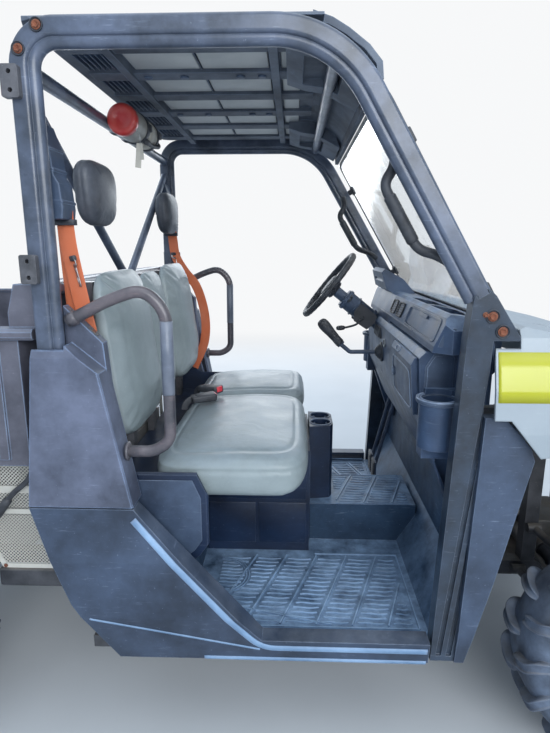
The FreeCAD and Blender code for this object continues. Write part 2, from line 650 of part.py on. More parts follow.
def fender():
    top = fender_top
    wall = 9.0
    arch = [(fender_front_x, 900), (front_axle_x + 226, 952), (front_axle_x + 106, 985), (front_axle_x - 34, 1000),
            (front_axle_x - 210, 998), (806, 976), (726, 1074),
            (684, 1074)]
    outline = top + arch
    solid = side_prism(outline, hood_y + 6, 786)
    solid = solid.common(front_prism([(hood_y, 1420), (640, 1420), (735, 1280), (770, 1150), (786, 1040), (786, 700),
                                      (hood_y, 700)], 600, nose_x + 64))
    inner = [(x, z - wall) for x, z in top]
    inner[0] = (inner[0][0] - 20, inner[0][1])
    inner[-1] = (inner[-1][0] - wall, inner[-1][1])
    inner = inner + [(fender_front_x - wall, 700), (664, 700)]
    hollow = side_prism(inner, hood_y - 10, 786 - wall)
    hollow = hollow.common(front_prism([(hood_y - 20, 1420 - wall), (640 - wall, 1420 - wall), (735 - wall, 1280),
                                        (770 - wall, 1150), (786 - wall, 1040), (786 - wall, 600),
                                        (hood_y - 20, 600)], 600, nose_x + 64))
    return solid.cut(hollow).cut(block((600, 747), (0, 742), (0, 1500)))


fender_left = fender()
save("front_fenders", *both_sides(fender_left))

hood_under = [(nose_x + 6, 1030), (nose_x - 2, 1030), (nose_x - 46, 1083), (hood_bend_x[1] - 4, 1188),
              (hood_bend_x[0] - 2, 1264), (hood_rear_x, 1288)]
hood_outline = hood_top + hood_under
hinge_r = 9.0
hood = side_prism(hood_outline, -hood_y, hood_y)
for y in (-330, 290):
    barrel = rod(V(hood_hinge[0], y, hood_hinge[1]), V(hood_hinge[0], y + 40, hood_hinge[1]), hinge_r)
    web = block((hood_hinge[0] - 8.8, hood_hinge[0] - 0.8), (y, y + 40), (hood_hinge[1], hood_hinge[1] + 22))
    hood = hood.fuse(barrel).fuse(web)
save("hood", hood.removeSplitter())

fascia = front_prism([(-430, 1024), (430, 1024), (600, 960), (600, 760), (470, 560), (-470, 560), (-600, 760),
                      (-600, 960)], *fascia_x)
grille_slots = []
for z in (640, 700, 760, 820, 880):
    grille_slots.append(block((fascia_x[0] - 20, fascia_x[1] + 20), (-300, 300), (z, z + 36)))
lamp_holes = both_sides(block((fascia_x[0] - 20, fascia_x[1] + 20), (345, 545), (880, 960)))
save("front_fascia", fascia.cut(Part.makeCompound(grille_slots + lamp_holes)))
head_lamp = block((fascia_x[0] + 4, fascia_x[1] + 8), (345 + touch, 545 - touch), (880 + touch, 960 - touch))
head_lamp = head_lamp.makeFillet(8, edges_along(head_lamp, "z"))
tail_lamp = block((rail_rear - 10, rail_rear + 35 - touch), (200, 260), (640, 720))
save("lamps", *(both_sides(head_lamp) + both_sides(tail_lamp)))

radiator = block((rail_front + touch, rail_front + 45), (-280, 280), (rail_top, 800))
save("radiator", radiator)

bumper_x = rail_front + 175
bumper_loop = tube([V(rail_front + touch, 230, 327), V(rail_front + 60, 230, 327), V(bumper_x - 25, 240, 420),
                    V(bumper_x, 270, 540), V(bumper_x, 330, 770), V(fascia_x[1] + touch, 330, 770)], 19, 40)
bumper_bars = [rod(V(bumper_x - 2, -y, z), V(bumper_x - 2, y, z), 15) for y, z in ((262, 520), (300, 660))]
front_bumper = join(both_sides(bumper_loop) + bumper_bars)
receiver_x = rail_rear - 120
receiver = block((receiver_x, rail_rear), (-36, 36), (310, 382))
receiver = receiver.cut(block((receiver_x - 10, rail_rear + 10), (-25.4, 25.4), (320.6, 371.4)))
receiver = receiver.cut(rod(V(receiver_x + 40, -60, 346), V(receiver_x + 40, 60, 346), 8.25))
rear_bar = block((rail_rear - 40, rail_rear), (-320, 320), (382, 430))
hitch = join([rear_bar, receiver])
save("front_bumper", front_bumper)
save("rear_bumper", hitch)


# engine, drive units and shafts

engine = block((-880, -430), (-200, 200), (rail_top + 20, 800))
engine = engine.fuse(block((-660, -620), (-150, 150), (rail_top - 6 + touch, rail_top + 20)))
transaxle = block((rear_axle_x - 145 + touch, -880 - touch), (-150, 150), (rail_low + 8, 540))
front_diff = block((front_axle_x - 42, front_axle_x + 126), (-110, 110), (rail_low + touch, 440))
prop_shaft = rod(V(-430 + touch, 0, 420), V(front_axle_x - 42 - touch, 0, 420), 17)
half_shafts = []
for x, inner_y, outer_y in ((front_axle_x, 110, kingpin_y), (rear_axle_x, 150, 575)):
    shaft = rod(V(x, inner_y + touch, tyre_radius), V(x, outer_y - 20, tyre_radius), 13)
    boot = rod(V(x, inner_y + touch, tyre_radius), V(x, inner_y + 50, tyre_radius), 34)
    joint = Part.makeSphere(30, V(x, outer_y, tyre_radius))
    half_shafts += both_sides(join([shaft, boot, joint]))
save("drivetrain", *([engine, transaxle, front_diff, prop_shaft] + half_shafts))


# suspension arms, dampers and wheel carriers

arm_r = 14.0
arms = []
ball_top_z = tyre_radius + ball_up
ball_low_z = tyre_radius - ball_down
arm_root_y = rail_y[1] + 18


boss_half = 24.0
damper_y = 470.0
damper_pin_r = 10.0
damper_eye_r = 18.0
upper_root_z = 500.0
rear_ball_y = 585.0


def arm(axle_x, z_root, z_ball, ball_y, spread, carries_damper):
    boss = rod(V(axle_x, ball_y, z_ball - boss_half), V(axle_x, ball_y, z_ball + boss_half), 22)
    legs = []
    for side in (-1, 1):
        root = V(axle_x + side * spread, arm_root_y, z_root)
        legs.append(rod(root, V(axle_x + side * 8, ball_y, z_ball), arm_r))
        legs.append(rod(root - V(24, 0, 0), root + V(24, 0, 0), 17.5))
    if carries_damper:
        share = (ball_y - damper_y) / (ball_y - arm_root_y)
        across = 8 + (spread - 8) * share
        z = z_ball + (z_root - z_ball) * share
        legs.append(rod(V(axle_x - across, damper_y, z), V(axle_x + across, damper_y, z), damper_pin_r))
    return join([boss] + legs)


for x in (front_axle_x, rear_axle_x):
    ball_y = kingpin_y if x > 0 else rear_ball_y
    for z_root, z_ball, spread, carries_damper in ((330, ball_low_z, 150, False), (upper_root_z, ball_top_z, 110, True)):
        arms += both_sides(arm(x, z_root, z_ball, ball_y, spread, carries_damper))
save("suspension_arms", *arms)

dampers = []
for x, ball_y, top_z in ((front_axle_x, kingpin_y, front_rail_low + 10), (rear_axle_x, rear_ball_y, rear_post_top + 10)):
    seat_share = (ball_y - damper_y) / (ball_y - arm_root_y)
    low_z = ball_top_z + (upper_root_z - ball_top_z) * seat_share + damper_pin_r + damper_eye_r + touch
    top = V(x, 300, top_z)
    low = V(x, damper_y, low_z)
    axis = (low - top).normalize()
    length = (low - top).Length
    body = rod(top + axis * 30, low - axis * 60, 24)
    ridges = []
    for i in range(7):
        at = top + axis * (60 + i * (length - 190) / 6)
        ridges.append(rod(at - axis * 7, at + axis * 7, 38))
    rod_end = rod(top, low - axis * 10, 9)
    eye_top = rod(V(x - 22, top.y, top.z), V(x + 22, top.y, top.z), damper_eye_r)
    eye_low = rod(V(x - 22, low.y, low.z), V(x + 22, low.y, low.z), damper_eye_r)
    hanger = rod(V(x, rail_y[1] + touch, top.z), V(x, top.y, top.z), 14)
    dampers += both_sides(join([body, rod_end, eye_top, eye_low, hanger] + ridges))
save("shock_absorbers", *dampers)


def carrier(axle_x, ball_y, face_y, steer_arm):
    upright = block((axle_x - 42, axle_x + 42), (ball_y - 10, ball_y + 24), (ball_low_z + 40, ball_top_z - 40))
    housing = rod(V(axle_x, ball_y - 10, tyre_radius), V(axle_x, face_y - touch, tyre_radius), 44)
    ears = [rod(V(axle_x, ball_y, ball_top_z - 60), V(axle_x, ball_y, ball_top_z - boss_half - touch), 20),
            rod(V(axle_x, ball_y, ball_low_z + boss_half + touch), V(axle_x, ball_y, ball_low_z + 60), 20)]
    parts = [upright, housing] + ears
    if steer_arm:
        parts.append(block((axle_x - 92, axle_x - 30), (ball_y - 8, ball_y + 20), (tyre_radius + 34, tyre_radius + 50)))
    bore = rod(V(axle_x, ball_y - 20, tyre_radius), V(axle_x, ball_y + 40, tyre_radius), 37)
    return join(parts).cut(bore)


front_face_y = front_wheel_y + wheel_disc_gap + touch
rear_face_y = rear_wheel_y + wheel_disc_gap + 15 + touch
front_knuckle = carrier(front_axle_x, kingpin_y, front_face_y, True)
save("knuckle_left", front_knuckle)
save("knuckle_right", mirror_y(front_knuckle))
save("rear_hub_carriers", *both_sides(carrier(rear_axle_x, rear_ball_y, rear_face_y, False)))

rack_x = front_axle_x - 76.5
rack = rod(V(rack_x, -190, 372), V(rack_x, 190, 372), 26)
tie_rods = both_sides(rod(V(rack_x, 190, 372), V(rack_x, 596, 362), 8))
rack_feet = both_sides(block((rack_x - 16, rack_x + 16), (140, 170), (rail_low + touch, 372)))
save("steering_rack", join([rack] + tie_rods + rack_feet))


# load bed, tailgate and what hangs around it

tub = block(bed_x, (-bed_y, bed_y), (bed_under, bed_top))
tub = tub.cut(block((bed_x[0] - 5, bed_x[1] - bed_wall), (-bed_y + bed_wall, bed_y - bed_wall), (bed_floor, bed_top + 100)))
head = side_prism([(bed_x[1] - bed_wall, bed_top - 30), (bed_x[1], bed_top - 30), (bed_lip_x - 6, bed_top),
                   (bed_lip_x, bed_head_top - 18), (bed_lip_x - 8, bed_head_top), (bed_x[1] - 8, bed_head_top),
                   (bed_x[1] - bed_wall, bed_top + 40)], 20 - bed_y, bed_y - 20)
lip_section = [(bed_y - bed_wall - 8, bed_top), (bed_y - bed_wall - 8, bed_top - 12), (bed_y - 2, bed_top - 30),
               (bed_y + 14, bed_top - 30), (bed_y + 20, bed_top - 22), (bed_y + 20, bed_top - 8), (bed_y + 12, bed_top)]
side_lip = both_sides(front_prism(lip_section, bed_x[0], bed_lip_x))
bed_ribs = []
for x in (-1500, -1326, -1152, -978, -804, -630):
    bed_ribs += both_sides(block((x - 14, x + 14), (bed_y - 1, bed_y + 8), (bed_under + 20, bed_top - 28)))
bed_pivot = (-1426.0, 890.0)
saddles = []
pivot_r = bed_pivot[1] - upper_rail_top - touch
for side in (-1, 1):
    y0, y1 = sorted((side * rail_y[0], side * rail_y[1]))
    saddles.append(block((bed_pivot[0] + 40, -585), (y0, y1), (upper_rail_top + touch, bed_under + 1)))
    saddles.append(rod(V(bed_pivot[0], y0, bed_pivot[1]), V(bed_pivot[0], y1, bed_pivot[1]), pivot_r))
    saddles.append(block((bed_pivot[0] - 6, bed_pivot[0] + 6), (y0, y1), (bed_pivot[1], bed_under + 1)))
save("cargo_box", join([tub, head] + side_lip + bed_ribs + saddles))

gate = block((bed_x[0] - gate_thick, bed_x[0] - touch), (-bed_y + 4, bed_y - 4), (bed_floor, bed_top - 4))
gate = gate.cut(block((bed_x[0] - gate_thick - 5, bed_x[0] - gate_thick + 8), (-560, 560), (bed_floor + 55, bed_top - 55)))
save("tailgate", gate)

guard = side_prism([(-1000, 706), (-830, 706), (-735, 512), (-516, 512), (-516, 884), (-1000, 884)], 600, 606)
for x in (-960, -600):
    guard = guard.fuse(block((x, x + 30), (rail_y[1], 601), (846, 874)))
guard = guard.fuse(block((-750, -520), (575, 612), (452, 514)))
save("side_guards", *both_sides(guard.removeSplitter()))

muffler_x = rear_axle_x - 130
muffler = rod(V(muffler_x, -140, 650), V(muffler_x, 140, 650), 75)
tail_pipe = rod(V(muffler_x, 110, 650), V(muffler_x - 200, 110, 620), 24)
head_pipe = rod(V(-880 - touch, -60, 650), V(muffler_x, -60, 650), 22)
save("exhaust", join([muffler, tail_pipe, head_pipe]))

bottle_r = 52.0
bottle_x = rear_pillar_x + cross_r + bottle_r + touch
bottle_line = [(0, -200), (bottle_r - 7, -200), (bottle_r, -190), (bottle_r, 96), (bottle_r - 8, 112), (20, 132), (17, 168),
               (0, 168)]
bottle = revolve_y(bottle_line, bottle_x, rear_cross_z)
valve = block((bottle_x - 15, bottle_x + 15), (134, 182), (rear_cross_z - 24, rear_cross_z + 22))
handle = side_prism([(bottle_x - 9, rear_cross_z + 20), (bottle_x + 9, rear_cross_z + 20), (bottle_x + 9, rear_cross_z + 34),
                     (bottle_x - 9, rear_cross_z + 34)], 66, 184)
strap_ring = revolve_y([(bottle_r - 1, -60), (bottle_r + 3, -60), (bottle_r + 3, -36), (bottle_r - 1, -36)], bottle_x,
                       rear_cross_z)
strap_ring = strap_ring.cut(block((rear_pillar_x - 30, rear_pillar_x + cross_r + touch), (-80, 0),
                                  (rear_cross_z - 80, rear_cross_z + 80)))
save("fire_extinguisher", join([bottle, valve, handle, strap_ring]))
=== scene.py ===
import json
import math

import bmesh
import bpy
import numpy as np
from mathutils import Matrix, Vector

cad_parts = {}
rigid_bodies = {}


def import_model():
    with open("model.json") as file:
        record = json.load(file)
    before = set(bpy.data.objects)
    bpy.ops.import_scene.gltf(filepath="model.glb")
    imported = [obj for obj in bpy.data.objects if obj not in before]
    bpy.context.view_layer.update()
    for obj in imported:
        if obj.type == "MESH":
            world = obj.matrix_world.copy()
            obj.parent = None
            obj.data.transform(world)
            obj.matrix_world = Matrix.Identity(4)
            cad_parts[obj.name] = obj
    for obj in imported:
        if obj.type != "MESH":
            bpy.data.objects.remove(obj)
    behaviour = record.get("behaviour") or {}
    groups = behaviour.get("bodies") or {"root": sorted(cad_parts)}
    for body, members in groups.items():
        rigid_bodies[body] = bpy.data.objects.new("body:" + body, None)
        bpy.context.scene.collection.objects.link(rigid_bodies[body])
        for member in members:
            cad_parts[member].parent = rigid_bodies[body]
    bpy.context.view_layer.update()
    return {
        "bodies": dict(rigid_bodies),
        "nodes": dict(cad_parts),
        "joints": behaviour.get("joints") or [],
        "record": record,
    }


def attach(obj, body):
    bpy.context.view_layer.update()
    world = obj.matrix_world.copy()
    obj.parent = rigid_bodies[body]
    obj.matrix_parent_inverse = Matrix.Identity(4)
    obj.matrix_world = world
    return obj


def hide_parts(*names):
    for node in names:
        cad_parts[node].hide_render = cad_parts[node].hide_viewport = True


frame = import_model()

# Side by side utility vehicle: finishes, soft seats, belts and small parts around the fixed frame.
# Metres, +X forward, +Y to the driver's left, +Z up.

nodes = frame["nodes"]


# camera, lights and backdrop

camera = {
    "place": (0.174, -2.07, 1.5),
    "pitch": -12.6,
    "yaw": 2.0,
    "focalPixels": 529.0,
    "imageWidth": 550.0,
}
studio = {"skyColor": (0.7, 0.84, 1.0), "skyStrength": 0.8, "backdrop": (0.93, 0.94, 0.95)}
lamps = {
    "skyPanel": {"place": (0.3, -1.0, 6.0), "target": (0, 0, 0.8), "size": (7.0, 7.0), "power": 165.0,
        "color": (0.88, 0.94, 1.0)},
    "sidePanel": {"place": (2.2, -6.0, 3.2), "target": (0, 0, 1.0), "size": (5.0, 3.0), "power": 300.0,
        "color": (0.95, 0.98, 1.0)},
    "farPanel": {"place": (-1.0, 6.0, 3.0), "target": (0, 0, 1.0), "size": (5.0, 3.0), "power": 135.0,
        "color": (0.92, 0.96, 1.0)},
}


def linked(name, data):
    # a new object round the data, in the scene
    made = bpy.data.objects.new(name, data)
    bpy.context.scene.collection.objects.link(made)
    return made


eye = linked("eye", bpy.data.cameras.new("eye"))
eye.location = camera["place"]
eye.rotation_euler = (math.radians(90 + camera["pitch"]), 0, math.radians(camera["yaw"]))
eye.data.sensor_fit = "HORIZONTAL"
eye.data.sensor_width = 36.0
eye.data.lens = camera["focalPixels"] / camera["imageWidth"] * eye.data.sensor_width
bpy.context.scene.camera = eye
bpy.context.scene.view_settings.view_transform = "Standard"


def addLight(name, place, target, size, power, color):
    lamp = bpy.data.lights.new(name, "AREA")
    lamp.shape = "RECTANGLE"
    lamp.size, lamp.size_y = size
    lamp.energy = power
    lamp.color = color
    holder = linked(name, lamp)
    holder.location = place
    holder.rotation_euler = (Vector(target) - Vector(place)).to_track_quat("-Z", "Y").to_euler()


for lampName, lampSetting in lamps.items():
    addLight(lampName, **lampSetting)


def put(tree, kind, inputs=None, **values):
    # one shader node with its settings; an input is a plain value or another node's output
    made = tree.nodes.new(kind)
    for name, value in values.items():
        setattr(made, name, value)
    for name, value in (inputs or {}).items():
        if isinstance(value, bpy.types.NodeSocket):
            tree.links.new(value, made.inputs[name])
        else:
            made.inputs[name].default_value = value
    return made


def seenShare(tree):
    # 1 for what the camera sees itself or through clear pieces, otherwise 0
    seen = put(tree, "ShaderNodeLightPath")
    either = put(tree, "ShaderNodeMath", {0: seen.outputs["Is Camera Ray"],
        1: seen.outputs["Is Transmission Ray"]}, operation="MAXIMUM")
    return either.outputs[0]


def makeBackdrop():
    world = bpy.data.worlds.new("studio")
    bpy.context.scene.world = world
    world.use_nodes = True
    tree = world.node_tree
    tree.nodes.clear()
    sky = put(tree, "ShaderNodeBackground", {"Color": (*studio["skyColor"], 1),
        "Strength": studio["skyStrength"]})
    plain = put(tree, "ShaderNodeBackground", {"Color": (*studio["backdrop"], 1), "Strength": 1.0})
    mixed = put(tree, "ShaderNodeMixShader", {0: seenShare(tree), 1: sky.outputs[0], 2: plain.outputs[0]})
    put(tree, "ShaderNodeOutputWorld", {"Surface": mixed.outputs[0]})


makeBackdrop()
print("camera, lights and backdrop set")


# mesh helpers: grids, tubes and turned shapes worked out as whole arrays

def gridFaces(rows, cols, closeRows=False, closeCols=False):
    # quads between the neighbours (i, j), (i, j+1), (i+1, j+1) and (i+1, j)
    i, j = np.meshgrid(np.arange(rows if closeRows else rows - 1),
        np.arange(cols if closeCols else cols - 1), indexing="ij")
    i2 = (i + 1) % rows
    j2 = (j + 1) % cols
    return np.stack([i * cols + j, i * cols + j2, i2 * cols + j2, i2 * cols + j], -1).reshape(-1, 4)


def cappedGrid(rows, cols):
    # a tube's quads with one face over each end
    ends = [list(range(cols))[::-1], [(rows - 1) * cols + k for k in range(cols)]]
    return gridFaces(rows, cols, closeCols=True).tolist() + ends


def addPiece(name, points, faces, body, slot, material, smooth=True, uv=None, merge=0.0):
    # points is n x 3 in metres; the faces are turned outwards and the piece rides on its body
    mesh = bpy.data.meshes.new(name)
    faceList = faces.tolist() if isinstance(faces, np.ndarray) else faces
    mesh.from_pydata(np.asarray(points, float).tolist(), [], faceList)
    if uv is not None:
        corner = np.empty(len(mesh.loops), int)
        mesh.loops.foreach_get("vertex_index", corner)
        layer = mesh.uv_layers.new(name="cut")
        layer.data.foreach_set("uv", np.asarray(uv, float)[corner].ravel())
    work = bmesh.new()
    work.from_mesh(mesh)
    if merge > 0:
        bmesh.ops.remove_doubles(work, verts=work.verts, dist=merge)
    bmesh.ops.recalc_face_normals(work, faces=work.faces)
    work.to_mesh(mesh)
    work.free()
    mesh.polygons.foreach_set("use_smooth", np.full(len(mesh.polygons), smooth))
    piece = linked(name, mesh)
    piece.data.materials.append(finishes[material])
    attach(piece, body)
    return piece


def stack(parts):
    # several (points, faces) shapes as one, each one's face numbers moved past the points before it
    points = np.concatenate([p for p, f in parts])
    starts = np.cumsum([0] + [len(p) for p, f in parts[:-1]])
    faces = []
    for start, (p, f) in zip(starts, parts):
        faces += [[k + int(start) for k in face] for face in (f.tolist() if isinstance(f,
            np.ndarray) else f)]
    return points, faces


def smoothLine(points, count):
    # a curve through all the points: each span is the cubic set by its two ends and their neighbours
    p = np.asarray(points, float)
    n = len(p)
    t = np.linspace(0, n - 1, count)
    k = np.minimum(t.astype(int), n - 2)
    f = (t - k)[:, None]
    a, b, c, d = p[np.maximum(k - 1, 0)], p[k], p[k + 1], p[np.minimum(k + 2, n - 1)]
    return 0.5 * (2 * b + (c - a) * f + (2 * a - 5 * b + 4 * c - d) * f ** 2 + (3 * b - a - 3 * c + d)
        * f ** 3)


def unit(v):
    return v / np.maximum(np.linalg.norm(v, axis=-1, keepdims=True), 1e-9)


def carry(path, profile, up=(0, 0, 1), closed=False, scale=None):
    # a closed profile (across, lifted) carried along a path: point = path + side * across + lift * lifted
    path = np.asarray(path, float)
    profile = np.asarray(profile, float)
    ahead = np.roll(path, -1, 0) - np.roll(path, 1, 0) if closed else np.gradient(path, axis=0)
    ahead = unit(ahead)
    side = unit(np.cross(np.broadcast_to(np.asarray(up, float), path.shape), ahead))
    lift = np.cross(ahead, side)
    grow = np.ones(len(path)) if scale is None else np.asarray(scale, float)
    ring = (side[:, None, :] * profile[None, :, 0, None] + lift[:, None, :] * profile[None, :, 1, None])
    points = path[:, None, :] + ring * grow[:, None, None]
    if closed:
        return points.reshape(-1, 3), gridFaces(len(path), len(profile), closeRows=True,
            closeCols=True).tolist()
    return points.reshape(-1, 3), cappedGrid(len(path), len(profile))


def around(count):
    # equal angles once round
    return np.linspace(0, 2 * np.pi, count, endpoint=False)


def squared(value, power):
    # sign(v) |v|^power: below 1 it squares off a circle's cosine and sine
    return np.sign(value) * np.abs(value) ** power


def circle(radius, count):
    # points (radius cos a, radius sin a)
    a = around(count)
    return np.stack([radius * np.cos(a), radius * np.sin(a)], -1)


def turned(profile, center, axis, count=32, reference=(0.3, 0.2, 1.0)):
    # a (radius, along) profile turned about an axis: center + axis * along + radius (cos a, sin a)
    profile = np.asarray(profile, float)
    axis = unit(np.asarray(axis, float))
    right = unit(np.cross(axis, reference))
    up = np.cross(axis, right)
    a = around(count)
    spoke = right[None] * np.cos(a)[:, None] + up[None] * np.sin(a)[:, None]
    points = np.asarray(center)[None, None] + axis * profile[:, None, 1, None] + spoke[None] * profile[:,
        None, 0, None]
    return points.reshape(-1, 3), cappedGrid(len(profile), count)


def roundedBlock(low, high, radius, steps=4):
    # a box with round edges: a cube's grid pushed out to the inner box plus radius along the unit offset
    low, high = np.asarray(low, float), np.asarray(high, float)
    n = 2 * steps
    t = np.linspace(-1, 1, n + 1)
    u, v = np.meshgrid(t, t, indexing="ij")
    one = np.ones_like(u)
    sides = [(one, u, v), (-one, v, u), (v, one, u), (u, -one, v), (u, v, one), (v, u, -one)]
    cube = np.stack([np.stack(side, -1).reshape(-1, 3) for side in sides])
    middle = (low + high) / 2
    half = (high - low) / 2
    radius = min(radius, half.min() * 0.98)
    angle = np.tan(cube * np.pi / 4)
    points = middle + np.sign(np.round(cube, 6)) * (half - radius) + unit(angle) * radius
    quads = gridFaces(n + 1, n + 1)
    faces = np.concatenate([quads + k * (n + 1) ** 2 for k in range(6)])
    return points.reshape(-1, 3), faces


def prism(outline, plane, start, end):
    # a flat outline in the xz, yz or xy plane pulled from start to end along the third axis
    outline = np.asarray(outline, float)
    order = {"xz": (0, 2, 1), "yz": (1, 2, 0), "xy": (0, 1, 2)}[plane]
    count = len(outline)
    points = np.zeros((2 * count, 3))
    for half, depth in enumerate((start, end)):
        points[half * count:(half + 1) * count, order[0]] = outline[:, 0]
        points[half * count:(half + 1) * count, order[1]] = outline[:, 1]
        points[half * count:(half + 1) * count, order[2]] = depth
    faces = [[k, (k + 1) % count, count + (k + 1) % count, count + k] for k in range(count)]
    faces.append(list(range(count))[::-1])
    faces.append(list(range(count, 2 * count)))
    return points, faces


def mirrored(shape):
    # the same shape on the other side, y turned round and its faces with it
    points, faces = shape
    faces = faces.tolist() if isinstance(faces, np.ndarray) else faces
    return points * np.array([1, -1, 1]), [face[::-1] for face in faces]


def both(shape):
    return stack([shape, mirrored(shape)])


def addBevel(piece, width):
    bevel = piece.modifiers.new("edges", "BEVEL")
    bevel.width = width
    bevel.segments = 2
    bevel.limit_method = "ANGLE"
    bevel.harden_normals = False
    return piece


# finishes: procedural, on object coordinates

finishes = {}
# one row for each finish, in the order of the columns; what only some have stands in finishExtras
finishColumns = ("color", "worn", "rough", "grain", "grainDepth", "patch", "scuff", "scuffAmount", "edge",
    "edgeWearAndHighlight", "dustAndTopLight", "dustAndTopLightAmount", "bevel")
finishRows = {
    "blackPlastic": ((0.027, 0.041, 0.072), (0.072, 0.108, 0.18), (0.36, 0.58), 700.0, 0.00025, 5.0,
        (0.3, 0.36, 0.48), 0.5, (0.26, 0.33, 0.46), 0.75, (0.22, 0.25, 0.3), 0.45, 0.004),
    # floor plastic: dark base with a pale blue colour on the upward faces, painted top light and sheen, so
    # the tops read light and the sides dark
    "floorPlastic": ((0.014, 0.034, 0.07), (0.04, 0.082, 0.15), (0.4, 0.62), 600.0, 0.0003, 7.0,
        (0.42, 0.52, 0.66), 0.7, (0.4, 0.5, 0.66), 0.9, (0.4, 0.59, 0.86), 0.7, 0.002),
    "bedPlastic": ((0.058, 0.06, 0.08), (0.15, 0.152, 0.195), (0.45, 0.65), 500.0, 0.0004, 4.0,
        (0.3, 0.3, 0.36), 0.45, (0.3, 0.4, 0.58), 1.0, (0.27, 0.31, 0.4), 0.6, 0.006),
    "cagePaint": ((0.04, 0.051, 0.074), (0.104, 0.13, 0.195), (0.26, 0.45), 900.0, 0.0001, 9.0,
        (0.36, 0.42, 0.52), 0.5, (0.3, 0.36, 0.46), 0.5, (0.2, 0.22, 0.26), 0.3, 0.003),
    "framePaint": ((0.03, 0.032, 0.038), (0.075, 0.078, 0.09), (0.35, 0.6), 600.0, 0.00015, 10.0,
        (0.22, 0.2, 0.18), 0.45, (0.2, 0.2, 0.22), 0.6, (0.24, 0.21, 0.17), 0.8, 0.003),
    "tubePaint": ((0.035, 0.036, 0.04), (0.12, 0.12, 0.135), (0.25, 0.5), 800.0, 0.0001, 14.0,
        (0.3, 0.3, 0.34), 0.6, (0.2, 0.2, 0.22), 0.3, (0.2, 0.2, 0.21), 0.4, 0.002),
    "greyBody": ((0.26, 0.305, 0.345), (0.305, 0.35, 0.39), (0.34, 0.48), 300.0, 0.00005, 3.0,
        (0.4, 0.44, 0.47), 0.3, (0.44, 0.49, 0.54), 0.4, (0.42, 0.4, 0.37), 0.3, 0.006),
    "decalYellow": ((0.415, 0.415, 0.004), (0.43, 0.43, 0.008), (0.28, 0.4), 200.0, 0.00003, 6.0,
        (0.41, 0.41, 0.08), 0.15, (0.45, 0.45, 0.06), 0.2, (0.6, 0.56, 0.3), 0.1, 0.0005),
    "castMetal": ((0.23, 0.23, 0.235), (0.33, 0.32, 0.3), (0.45, 0.7), 260.0, 0.0006, 9.0,
        (0.36, 0.28, 0.2), 0.4, (0.5, 0.5, 0.5), 0.6, (0.3, 0.26, 0.21), 0.8, 0.005),
    "rustySteel": ((0.15, 0.042, 0.022), (0.27, 0.092, 0.046), (0.55, 0.85), 700.0, 0.0004, 60.0,
        (0.42, 0.3, 0.24), 0.6, (0.42, 0.3, 0.24), 0.6, (0.4, 0.22, 0.12), 0.3, 0.001),
    "brightSteel": ((0.45, 0.46, 0.48), (0.3, 0.3, 0.31), (0.2, 0.42), 600.0, 0.0001, 40.0,
        (0.25, 0.18, 0.13), 0.35, (0.6, 0.6, 0.6), 0.5, (0.3, 0.3, 0.3), 0.2, 0.001),
    "exhaustSteel": ((0.3, 0.26, 0.22), (0.2, 0.11, 0.06), (0.35, 0.65), 300.0, 0.0002, 12.0,
        (0.38, 0.3, 0.22), 0.5, (0.45, 0.4, 0.34), 0.5, (0.3, 0.25, 0.2), 0.5, 0.003),
    "bottleRed": ((0.52, 0.03, 0.03), (0.6, 0.08, 0.06), (0.25, 0.4), 300.0, 0.00005, 16.0,
        (0.7, 0.4, 0.38), 0.35, (0.7, 0.3, 0.28), 0.3, (0.4, 0.2, 0.2), 0.3, 0.002),
    "bottleGrey": ((0.3, 0.285, 0.26), (0.38, 0.365, 0.33), (0.35, 0.55), 300.0, 0.0001, 14.0,
        (0.5, 0.48, 0.44), 0.3, (0.5, 0.5, 0.5), 0.3, (0.3, 0.3, 0.3), 0.3, 0.002),
    "paperTag": ((0.62, 0.6, 0.54), (0.5, 0.47, 0.41), (0.75, 0.9), 400.0, 0.0001, 30.0, (0.45, 0.42, 0.36),
        0.3, (0.5, 0.46, 0.4), 0.3, (0.5, 0.46, 0.4), 0.2, 0.0003),
    "guardCream": ((0.64, 0.625, 0.57), (0.54, 0.525, 0.475), (0.4, 0.6), 300.0, 0.0001, 10.0,
        (0.3, 0.24, 0.18), 0.45, (0.62, 0.6, 0.55), 0.4, (0.4, 0.35, 0.28), 0.4, 0.0006),
    "roofGrey": ((0.43, 0.45, 0.455), (0.52, 0.53, 0.525), (0.4, 0.6), 400.0, 0.0003, 6.0,
        (0.34, 0.36, 0.38), 0.4, (0.34, 0.37, 0.42), 0.5, (0.3, 0.3, 0.3), 0.3, 0.003),
    "tyreRubber": ((0.054, 0.07, 0.104), (0.136, 0.178, 0.255), (0.5, 0.75), 400.0, 0.0005, 12.0,
        (0.16, 0.16, 0.17), 0.5, (0.14, 0.15, 0.18), 0.7, (0.2, 0.18, 0.15), 0.5, 0.004),
    "softGrip": ((0.026, 0.028, 0.034), (0.06, 0.066, 0.08), (0.4, 0.6), 1400.0, 0.0005, 20.0,
        (0.16, 0.17, 0.2), 0.4, (0.12, 0.13, 0.16), 0.3, (0.18, 0.18, 0.19), 0.5, 0.002),
    # seat vinyl: the bluish colour on the upward faces is painted top light over the grey-green vinyl
    "seatVinyl": ((0.225, 0.268, 0.278), (0.315, 0.368, 0.388), (0.3, 0.48), 420.0, 0.0004, 3.2,
        (0.4, 0.44, 0.46), 0.55, (0.3, 0.32, 0.32), 0.0, (0.4, 0.49, 0.59), 0.35, 0.0),
    "headVinyl": ((0.044, 0.049, 0.062), (0.094, 0.104, 0.128), (0.35, 0.55), 500.0, 0.0004, 9.0,
        (0.2, 0.21, 0.24), 0.4, (0.1, 0.1, 0.1), 0.0, (0.18, 0.19, 0.21), 0.4, 0.0),
    "buttonRed": ((0.75, 0.02, 0.05), (0.8, 0.1, 0.12), (0.3, 0.4), 300.0, 0.00005, 30.0, (0.8, 0.4, 0.4),
        0.2, (0.8, 0.3, 0.3), 0.2, (0.5, 0.2, 0.2), 0.1, 0.0005),
}
